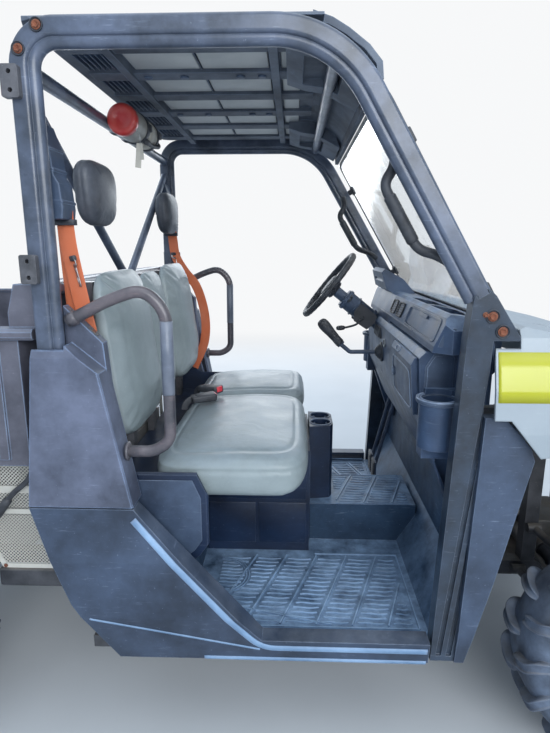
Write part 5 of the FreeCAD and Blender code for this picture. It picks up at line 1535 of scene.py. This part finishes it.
def addBottle():
    x, z = bottleSettings["x"], bottleSettings["z"]
    axis = (0.0, 1.0, 0.0)
    place = (x, 0.0, z)
    red = turned([(0.003, -0.1955), (0.024, -0.195), (0.03, -0.199), (0.04, -0.1992), (0.046, -0.197),
        (0.05, -0.192), (0.0515, -0.185), (0.0515, -0.17), (0.05, -0.168)], place, axis, 56)
    body = turned([(0.02, -0.17), (0.049, -0.17), (0.0505, -0.166), (0.051, -0.16), (0.051, 0.09),
        (0.049, 0.1), (0.042, 0.11), (0.03, 0.119), (0.021, 0.126), (0.0185, 0.134), (0.0185, 0.14)], place,
        axis, 56)
    label = ringOf([(0.0509, -0.02), (0.0514, -0.02), (0.0514, 0.078), (0.0509, 0.078)], place, axis, 56)
    addPiece("bottleEnd", *red, "chassis", "bottle_paint", "bottleRed")
    bottle = addPiece("bottleBody", *body, "chassis", "bottle_paint", "bottleGrey")
    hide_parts("fire_extinguisher")
    addPiece("bottleBand", *label, "chassis", None, "paperTag")
    # valve head with two lever plates, a gauge and the hose along the bottle
    valve = turned([(0.015, 0.139), (0.0175, 0.141), (0.0175, 0.15), (0.014, 0.152), (0.014, 0.17),
        (0.011, 0.174), (0.002, 0.175)], place, axis, 32)
    gauge = turned([(0.006, 0.0), (0.006, 0.012), (0.0145, 0.013), (0.015, 0.02), (0.013, 0.0215),
        (0.001, 0.0205)], (x, 0.158, z), (1, 0, 0), 28)
    levers = []
    for low, high in ((0.019, 0.029), (0.0225, 0.033)):
        line = smoothLine([(x, 0.176, z + 0.006), (x, 0.16, z + low), (x, 0.115, z + high),
            (x, 0.068, z + high + 0.001)], 24)
        levers.append(carry(line, strapProfile(0.02, 0.0026), up=(0, 0, 1)))
    addPiece("bottleValve", *stack([valve, gauge] + levers), "chassis", None, "brightSteel")
    hose = carry(smoothLine([(x + 0.012, 0.16, z - 0.004), (x + 0.034, 0.15, z - 0.02),
        (x + 0.044, 0.11, z - 0.036), (x + 0.04, 0.04, z - 0.045), (x + 0.04, -0.02, z - 0.045)], 60),
        circle(0.0075, 14), up=(1, 0, 0.3))
    nozzle = turned([(0.008, 0.0), (0.0098, 0.004), (0.011, 0.03), (0.009, 0.034), (0.003, 0.034)],
        (x + 0.04, -0.018, z - 0.045), (0, -1, 0), 20)
    strap = ringOf([(0.0508, -0.062), (0.054, -0.062), (0.055, -0.06), (0.055, -0.036), (0.054, -0.034),
        (0.0508, -0.034)], place, axis, 56)
    strapTwo = ringOf([(0.0508, 0.082), (0.054, 0.082), (0.055, 0.084), (0.055, 0.096), (0.054, 0.098),
        (0.0508, 0.098)], place, axis, 56)
    clamps = [roundedBlock((x + 0.048, y - 0.013, z - 0.012), (x + 0.062, y + 0.013, z + 0.012), 0.003,
        4) for y in bottleSettings["bands"]]
    clamps += [turned([(0.0205, -0.012), (0.0225, -0.01), (0.0225, 0.01), (0.0205, 0.012)], (-0.473, y, z),
        axis, 32) for y in bottleSettings["bands"]]
    addPiece("bottleFittings", *stack([hose, nozzle, strap, strapTwo] + clamps), "chassis", "black_plastic",
        "softGrip")
    # two blank card tags on a wire loop at the near end
    wire = carry(smoothLine([(x + 0.046, -0.198, z - 0.03), (x + 0.058, -0.2, z - 0.05),
        (x + 0.06, -0.199, z - 0.072), (x + 0.057, -0.198, z - 0.078)], 20), circle(0.0009, 8),
        up=(0, 1, 0.2))
    tags = []
    for turn, lean, length in bottleSettings["tags"]:
        down = unit(np.array([lean, 0.02, -1.0]))
        right = unit(np.array([math.cos(turn), math.sin(turn), lean]))
        t = np.linspace(0, 1, 14)
        curl = 0.004 * np.sin(t * 2.4)[:, None] * np.cross(right, down)
        line = np.array([x + 0.057, -0.198, z - 0.077]) + down * (t * length)[:, None] + curl
        tags.append(carry(line, strapProfile(0.019, 0.0006), up=np.cross(right, down)))
    addPiece("cardTags", *stack(tags), "chassis", None, "paperTag")
    addPiece("tagWire", *wire, "chassis", None, "brightSteel")


addRoofLining()
addBottle()
print("roof lining and fire bottle made")


# belt reel covers: a leaning moulded cover with steps, and the slot guide the webbing leaves by

def addReelCovers():
    outline = np.array([(-0.478, 1.59), (-0.47, 1.573), (-0.418, 1.573), (-0.414, 1.6), (-0.419, 1.66),
        (-0.431, 1.68), (-0.437, 1.745), (-0.456, 1.806), (-0.47, 1.812), (-0.478, 1.8)])
    cover = prism(outline, "xz", -0.604, -0.6885)
    steps = []
    for z0, z1 in ((1.612, 1.62), (1.69, 1.698), (1.742, 1.748)):
        front = np.interp((z0, z1), (1.6, 1.66, 1.68, 1.745, 1.806), (-0.414, -0.419, -0.431, -0.437,
            -0.456))
        steps.append(prism([(-0.4784, z0), (front[0] + 0.0025, z0), (front[1] + 0.0025, z1), (-0.4784, z1)],
            "xz", -0.6022, -0.6892))
    steps.append(prism([(-0.47, 1.64), (-0.429, 1.64), (-0.437, 1.672), (-0.464, 1.676)], "xz", -0.6018,
        -0.61))
    guide = plateRing(roundedOutline((-0.441, -0.63), (0.035, 0.0135), 4.0), roundedOutline((-0.441, -0.63),
        (0.0275, 0.0062), 5.0), "xy", 1.56, 1.5745)
    piece = addPiece("reelCovers", *both(stack([cover] + steps)), "chassis", "black_plastic",
        "blackPlastic", smooth=False)
    addBevel(piece, 0.003)
    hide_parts("belt_retractors")
    addPiece("beltGuides", *both(guide), "chassis", "buckle_plastic", "softGrip")


addReelCovers()


# body trims: pale bands along the door opening and the rocker's lips, painted highlight with some wear;
# anchors on the inner towers, console rings and base panels

trimSettings = {
    "rockerZ": (0.3, 0.428, 0.47, 0.645, 0.8),
    "rockerY": (0.738, 0.763, 0.772, 0.772, 0.752),
    "opening": [(-0.256, 0.776), (0.092, 0.378), (0.566, 0.378)],
    "wide": 0.02,
    "thick": 0.003,
    "anchors": [(-0.414, 1.329), (-0.365, 1.28)],
    "cups": (-0.042, 0.042),
}


def rockerBand(corners, wide, thick, side):
    # a strip on the rocker's outer face below the line through the corners: y follows the face at each height
    s = trimSettings
    line = bendPath([(x, 0, z) for x, z in corners], 0.04, 8)[:, [0, 2]]
    run = np.concatenate([[0], np.cumsum(np.linalg.norm(np.diff(line, axis=0), axis=1))])
    t = np.linspace(0, run[-1], 90)
    line = np.stack([np.interp(t, run, line[:, 0]), np.interp(t, run, line[:, 1])], -1)
    ahead = unit(np.gradient(line, axis=0))
    down = np.stack([ahead[:, 1], -ahead[:, 0]], -1)
    across = np.array([0.0, 0.12, 0.5, 0.88, 1.0])
    rise = np.array([0.0, 0.9, 1.0, 0.9, 0.0]) * thick + 0.0006
    flat = line[:, None, :] + down[:, None, :] * (across * wide)[None, :, None]
    face = np.interp(flat[..., 1], s["rockerZ"], s["rockerY"])
    outer = np.stack([flat[..., 0], side * (face + rise[None]), flat[..., 1]], -1)
    inner = np.stack([flat[..., 0], side * (face - 0.001), flat[..., 1]], -1)[:, ::-1]
    ring = np.concatenate([outer, inner], 1)
    return ring.reshape(-1, 3), cappedGrid(*ring.shape[:2])


def addTrims():
    s = trimSettings
    bands = []
    for side in (-1, 1):
        # pale bands along the door opening and the rocker's lower lip: painted highlight lines, partly wear
        bands.append(rockerBand(s["opening"], s["wide"], s["thick"], side))
        bands.append(rockerBand([(-0.4, 0.47), (-0.395, 0.468), (0.085, 0.366)], 0.007, 0.0016, side))
        bands.append(rockerBand([(-0.08, 0.3315), (0.1, 0.3315), (0.566, 0.3315)], 0.013, 0.0024, side))
    addPiece("openingHighlightBands", *stack(bands), "chassis", "black_plastic", "palePlastic")
    ovals = []
    for x, z in s["anchors"]:
        ring = ovalRing((0.0175, 0.0105), (0.012, 0.0058), 2.3, -0.001, 0.0026)
        ovals.append(placeShape(ring, (x, -0.673, z), (0.7071, 0, -0.7071), (0, 1, 0)))
    heads = [bolt((x + 0.0006, -0.673, z + 0.0006), (0.7071, 0, 0.7071), 0.005, 0.004, 0.001) for x,
        z in s["anchors"]]
    addPiece("anchorRings", *both(stack(ovals)), "chassis", "frame_paint", "framePaint")
    addPiece("anchorBolts", *both(stack(heads)), "chassis", None, "rustySteel", smooth=False)
    rings = [ringOf([(0.0382, -0.01), (0.0382, 0.0005), (0.04, 0.0032), (0.043, 0.003), (0.0445, 0.0),
        (0.0445, -0.002), (0.0385, -0.012)], (0.286, y, 0.82), (0, 0, 1), 48) for y in s["cups"]]
    fins = []
    for y in s["cups"]:
        for k in range(4):
            a = math.pi / 4 + k * math.pi / 2
            out = np.array([math.cos(a), math.sin(a), 0.0])
            center = np.array([0.286, y, 0.795]) + out * 0.0345
            fins.append(placeShape(roundedBlock((-0.0045, -0.016, -0.003), (0.004, 0.016, 0.003), 0.0025,
                3), center, out, (0, 0, 1)))
    addPiece("consoleRings", *stack(rings + fins), "chassis", "black_plastic", "blackPlastic")
    panels = []
    for x0, x1, z0, z1 in ((-0.142, 0.036, 0.392, 0.56), (0.048, 0.228, 0.392, 0.56),
            (-0.142, 0.228, 0.574, 0.752)):
        panels.append(roundedBlock((x0, -0.2282, z0), (x1, -0.224, z1), 0.002, 4))
    for y0, y1 in ((-0.216, -0.108), (0.108, 0.216)):
        panels.append(roundedBlock((0.239, y0, 0.4), (0.2428, y1, 0.748), 0.0018, 4))
    # base panels in the darker copy of the black plastic: painted shade under the seats
    addPiece("basePanels", *stack(panels + [mirrored(stack(panels[:3]))]), "chassis", "black_plastic",
        "basePlastic")
    # raised field with a chamfered outline on each side trim below the cushion ends
    field = [(-0.395, 0.585), (-0.156, 0.585), (-0.116, 0.616), (-0.092, 0.65), (-0.092, 0.785),
        (-0.116, 0.842), (-0.3, 0.842), (-0.35, 0.858), (-0.395, 0.858)]
    piece = addPiece("trimFields", *both(prism(field, "xz", -0.6515, -0.6545)), "chassis", "black_plastic",
        "blackPlastic", smooth=False)
    addBevel(piece, 0.0018)


addTrims()
print("reel covers and trims made")


# bed hardware: guard bars, release lever, tie rings and gate latch

bedSettings = {
    "screws": [(-0.985, 0.876), (-0.76, 0.876), (-0.528, 0.876), (-0.528, 0.7), (-0.528, 0.522),
        (-0.728, 0.522)],
    "rings": (-1.45, -1.05, -0.66),
    "gateRibs": (-0.5, -0.25, 0.25, 0.5),
}


def addBedHardware():
    bar = roundedBlock((-0.75, -0.612, 0.452), (-0.52, -0.575, 0.514), 0.008, 6)
    tabs = [roundedBlock((x, -0.6015, 0.846), (x + 0.03, -0.256, 0.874), 0.003, 4) for x in (-0.96, -0.6)]
    addPiece("guardBars", *both(stack([bar] + tabs)), "chassis", "frame_paint", "framePaint")
    # bed release: a bent rod with a rubber grip beside the guard, right side
    line = bendPath([(-0.56, -0.622, 0.884), (-0.589, -0.634, 0.868), (-0.612, -0.634, 0.824),
        (-0.664, -0.634, 0.782), (-0.705, -0.634, 0.728)], 0.022, 7)
    rod = carry(line, circle(0.0085, 16), up=(0, 1, 0))
    grip = between(line[-2], line[-2] + 1.9 * (line[-1] - line[-2]), [(0.0088, 0.0), (0.0125, 0.004),
        (0.0135, 0.03), (0.013, 0.07), (0.009, 0.082), (0.001, 0.084)], 20)
    addPiece("bedRelease", *stack([rod, grip]), "chassis", "steering_grip", "softGrip")
    # screws along the guard, tie rings on the bed rim and the gate latch
    heads = []
    for x, z in bedSettings["screws"]:
        heads.append(bolt((x, -0.6052, z), (0, -1, 0), 0.0048, 0.004, 0.001))
    addPiece("guardScrews", *both(stack(heads)), "chassis", None, "rustySteel", smooth=False)
    rings = []
    for x in bedSettings["rings"]:
        a = around(40)
        loop = np.stack([x + 0.021 * np.cos(a), 0 * a - 0.6655, 1.232 + 0.017 * np.sin(a)], -1)
        rings.append(carry(loop, circle(0.0032, 10), up=(0, 1, 0), closed=True))
        rings.append(roundedBlock((x - 0.013, -0.6702, 1.244), (x + 0.013, -0.661, 1.262), 0.003, 3))
    addPiece("tieRings", *both(stack(rings)), "load_bed", None, "brightSteel")
    plate = placeShape(ovalRing((0.085, 0.038), (0.062, 0.022), 4.0, -0.002, 0.005, 56), (-1.612, 0, 1.13),
        (0, -1, 0), (0, 0, 1))
    pull = roundedBlock((-1.6165, -0.055, 1.122), (-1.61, 0.055, 1.142), 0.003, 5)
    latch = [plate, pull]
    for y in bedSettings["gateRibs"]:
        latch.append(roundedBlock((-1.6165, y - 0.012, 1.0), (-1.611, y + 0.012, 1.226), 0.0026, 4))
    addPiece("gateLatch", *stack(latch), "tailgate", "black_plastic", "blackPlastic")


addBedHardware()


# running gear: coil dampers, wheel nuts and caps, axle boots

gearSettings = {
    "dampers": [((1.17, 0.3, 0.786), (1.17, 0.47, 0.495)), ((-1.12, 0.3, 0.85), (-1.12, 0.47, 0.4923))],
    "coil": 0.036,
    "wire": 0.0056,
    "turns": 8,
}


def addDampers():
    s = gearSettings
    parts, coils = [], []
    for top, low in s["dampers"]:
        top, low = np.array(top) * (1, -1, 1), np.array(low) * (1, -1, 1)
        axis = unit(low - top)
        length = float(np.linalg.norm(low - top))
        parts.append(between(top, low, [(0.012, 0.014), (0.03, 0.022), (0.04, 0.03), (0.04, 0.036),
            (0.024, 0.04), (0.023, length * 0.52), (0.0255, length * 0.525), (0.0255, length * 0.56),
            (0.02, length * 0.57), (0.01, length * 0.575), (0.01, length - 0.07), (0.04, length - 0.066),
            (0.04, length - 0.058), (0.016, length - 0.05), (0.012, length - 0.016)], 32))
        for at in (top, low):
            parts.append(turned([(0.0175, -0.022), (0.018, -0.02), (0.018, 0.02), (0.0175, 0.022),
                (0.006, 0.022)], at, (1, 0, 0), 28))
        parts.append(turned([(0.0135, 0.0), (0.014, 0.002), (0.014, 0.04), (0.0135, 0.0447)],
            (top[0], -0.2553, top[2]), (0, -1, 0), 24))
        t = np.linspace(0, 1, 40 * s["turns"])
        right = unit(np.cross(axis, (1.0, 0.0, 0.0)))
        up = np.cross(axis, right)
        a = 2 * np.pi * s["turns"] * t
        line = (top + axis * (0.04 + (length - 0.11) * t)[:, None] + s["coil"] * (np.cos(a)[:,
            None] * right + np.sin(a)[:, None] * up))
        coils.append(carry(line, circle(s["wire"], 8), up=axis))
    body = addPiece("damperBodies", *both(stack(parts)), "chassis", "damper_metal", "brightSteel")
    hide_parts("shock_absorbers")
    addPiece("damperCoils", *both(stack(coils)), "chassis", "damper_metal", "framePaint")


def addWheelParts():
    hub = tyreSettings["radius"]
    for end, (x, y, wide) in tyreSettings["wheels"].items():
        out = 0.005 + (0.015 if end == "rear" else 0.0)
        face = y + out + 0.012
        for side, sideName in ((1, "left"), (-1, "right")):
            parts = []
            for k in range(4):
                a = math.pi / 2 * k
                place = (x + 0.048 * math.sin(a), side * (face + 0.0002), hub + 0.048 * math.cos(a))
                parts.append(turned([(0.0165, 0.0), (0.0165, 0.0022), (0.0125, 0.003), (0.0122, 0.012),
                    (0.01, 0.018), (0.002, 0.019)], place, (0, side, 0), 6))
            parts.append(turned([(0.035, 0.0), (0.0352, 0.029), (0.033, 0.032), (0.02, 0.0335),
                (0.018, 0.032), (0.002, 0.0325)], (x, side * (y + out + 0.01), hub), (0, side, 0), 40))
            parts.append(turned([(0.005, -0.006), (0.0052, 0.016), (0.004, 0.018), (0.0044, 0.028),
                (0.001, 0.029)], (x + 0.088, side * (face + 0.008), hub + 0.088), (0, side, 0), 14))
            addPiece("wheelNuts_%s_%s" % (end, sideName), *stack(parts), "wheel_%s_%s" % (end, sideName),
                None, "brightSteel", smooth=False)


def addBoots():
    boots = []
    for x, y, wide in tyreSettings["wheels"].values():
        for start, way in ((0.185, 1), (0.56, -1)):
            profile = []
            for k in range(6):
                r = 0.046 - 0.0042 * k
                profile += [(r, 0.012 * k), (r - 0.007, 0.012 * k + 0.006)]
            profile = [(0.02, -0.002)] + profile + [(0.0185, 0.074), (0.015, 0.078)]
            boots.append(turned(profile, (x, -start, tyreSettings["radius"]), (0, -way, 0), 28))
    addPiece("axleBoots", *both(stack(boots)), "chassis", None, "softGrip")


addDampers()
addWheelParts()
addBoots()
print("bed hardware and running gear made")


# front end: lamp bezels and reflectors, grille mesh, screen seals and clamps

frontSettings = {
    "lamp": (0.445, 0.92),
    "screenLow": (0.742, 1.3),
    "screenHigh": (0.392, 1.893),
    "clampShares": (0.16, 0.8),
}


def addFront():
    s = frontSettings
    bezel = ovalRing((0.106, 0.046), (0.0985, 0.0385), 6.0, 1.53, 1.544, 64, s["lamp"], "yz")
    addPiece("lampBezels", *both(bezel), "chassis", "black_plastic", "blackPlastic")
    mirrors = []
    for y in (s["lamp"][0] - 0.048, s["lamp"][0] + 0.048):
        mirrors.append(turned([(0.004, -0.03), (0.016, -0.028), (0.028, -0.018), (0.034, -0.004),
            (0.036, 0.0), (0.034, 0.0), (0.028, -0.012), (0.014, -0.022), (0.002, -0.024)],
            (1.533, y, s["lamp"][1]), (1, 0, 0), 40))
    addPiece("lampMirrors", *both(stack(mirrors)), "chassis", None, "brightSteel")
    # grille: diamond wires across the slots, behind the bars
    wires = []
    for way in (-1, 1):
        for k in np.arange(-0.36, 0.361, 0.024):
            y0, y1 = k - way * 0.14, k + way * 0.14
            line = np.array([(1.512 + 0.0012 * way, y0, 0.636), (1.512 + 0.0012 * way, y1, 0.916)])
            t = np.linspace(0, 1, 30)[:, None]
            line = line[0] + (line[1] - line[0]) * t
            line = line[np.abs(line[:, 1]) < 0.298]
            if len(line) > 2:
                wires.append(carry(line, circle(0.0011, 6), up=(1, 0, 0)))
    addPiece("grilleMesh", *stack(wires), "chassis", None, "framePaint")
    # fins and tubes on the radiator's front face
    fins = [roundedBlock((1.4708, -0.272, z), (1.4728, 0.272, z + 0.0016), 0.0007,
        2) for z in np.arange(0.366, 0.79, 0.0105)]
    tanks = [roundedBlock((1.469, y0, 0.356), (1.48, y1, 0.796), 0.004, 4) for y0,
        y1 in ((-0.28, -0.262), (0.262, 0.28))]
    addPiece("radiatorFins", *stack(fins + tanks), "chassis", "radiator_metal", "castMetal")
    # screen: a rubber seal round the clear sheet and four clamps on the posts
    low, high = np.array(s["screenLow"]), np.array(s["screenHigh"])
    along = unit(high - low)
    out = np.array([along[1], -along[0]])
    origin = np.array([(low[0] + high[0]) / 2, 0.0, (low[1] + high[1]) / 2])
    origin -= np.array([out[0], 0, out[1]]) * 0.0025
    halfHigh = float(np.linalg.norm(high - low)) / 2
    seal = placeShape(ovalRing((0.655, halfHigh), (0.644, halfHigh - 0.011), 24.0, -0.0045, 0.0045, 96),
        origin, (0, 1, 0), (along[0], 0, along[1]))
    clamps = []
    for share in s["clampShares"]:
        place = low + (high - low) * share - out * 0.0025
        for side in (-1, 1):
            block = roundedBlock((-0.022, -0.02, -0.009), (0.022, 0.02, 0.009), 0.004, 4)
            clamps.append(placeShape(block, (place[0], side * 0.639, place[1]), (0, 1, 0),
                (along[0], 0, along[1])))
            clamps.append(turned([(0.011, 0.0), (0.0125, 0.004), (0.0125, 0.014), (0.01, 0.017),
                (0.002, 0.018)], (place[0] - out[0] * 0.009, side * 0.639, place[1] - out[1] * 0.009),
                (-out[0], 0, -out[1]), 20))
    addPiece("screenSeal", *stack([seal] + clamps), "chassis", "black_plastic", "softGrip")
    # tail lamps: ribbed red covers over the rear blocks
    covers = []
    for k in range(7):
        z = 0.645 + 0.01 * k
        covers.append(roundedBlock((-1.458, -0.2575, z), (-1.4515, -0.2025, z + 0.0085), 0.0025, 3))
    addPiece("tailCovers", *both(stack(covers)), "chassis", None, "lampRed")
    # pedal pads: rubber faces with cross ribs
    pads = []
    for y in (0.3, 0.4):
        pads.append(roundedBlock((0.5545, y - 0.0375, 0.4285), (0.561, y + 0.0375, 0.5215), 0.003, 4))
        for z in np.arange(0.436, 0.512, 0.012):
            pads.append(roundedBlock((0.5522, y - 0.033, z), (0.5556, y + 0.033, z + 0.005), 0.0014, 2))
    addPiece("pedalPads", *stack(pads), "chassis", "steering_grip", "softGrip")


addFront()
print("front end made")


def makeFloor():
    # seen directly the floor turns into the backdrop between 2.6 and 8 m, so no horizon shows
    size = 60.0
    points = np.array([(-size, -size, 0), (size, -size, 0), (size, size, 0), (-size, size, 0)], float)
    material, tree = newMaterial("floorPaint")
    coords = put(tree, "ShaderNodeTexCoord")
    cloud = noise(tree, coords.outputs["Object"], 2.0, 8.0)
    color = blendColor(tree, cloud, (0.52, 0.54, 0.56), (0.62, 0.64, 0.66))
    shader = put(tree, "ShaderNodeBsdfPrincipled", {"Base Color": color, "Roughness": 0.8})
    far = put(tree, "ShaderNodeVectorMath", {0: coords.outputs["Object"]}, operation="LENGTH")
    share = put(tree, "ShaderNodeMapRange", {"Value": far.outputs["Value"], "From Min": 2.6,
        "From Max": 8.0}, interpolation_type="SMOOTHSTEP")
    glow = put(tree, "ShaderNodeEmission", {"Color": (*studio["backdrop"], 1), "Strength": 1.0})
    mixed = put(tree, "ShaderNodeMixShader", {0: times(tree, share.outputs["Result"], seenShare(tree)),
        1: shader.outputs[0], 2: glow.outputs[0]})
    put(tree, "ShaderNodeOutputMaterial", {"Surface": mixed.outputs[0]})
    mesh = bpy.data.meshes.new("ground")
    mesh.from_pydata(points.tolist(), [], [[0, 1, 2, 3]])
    mesh.materials.append(material)
    ground = linked("ground", mesh)


makeFloor()


bpy.context.view_layer.update()
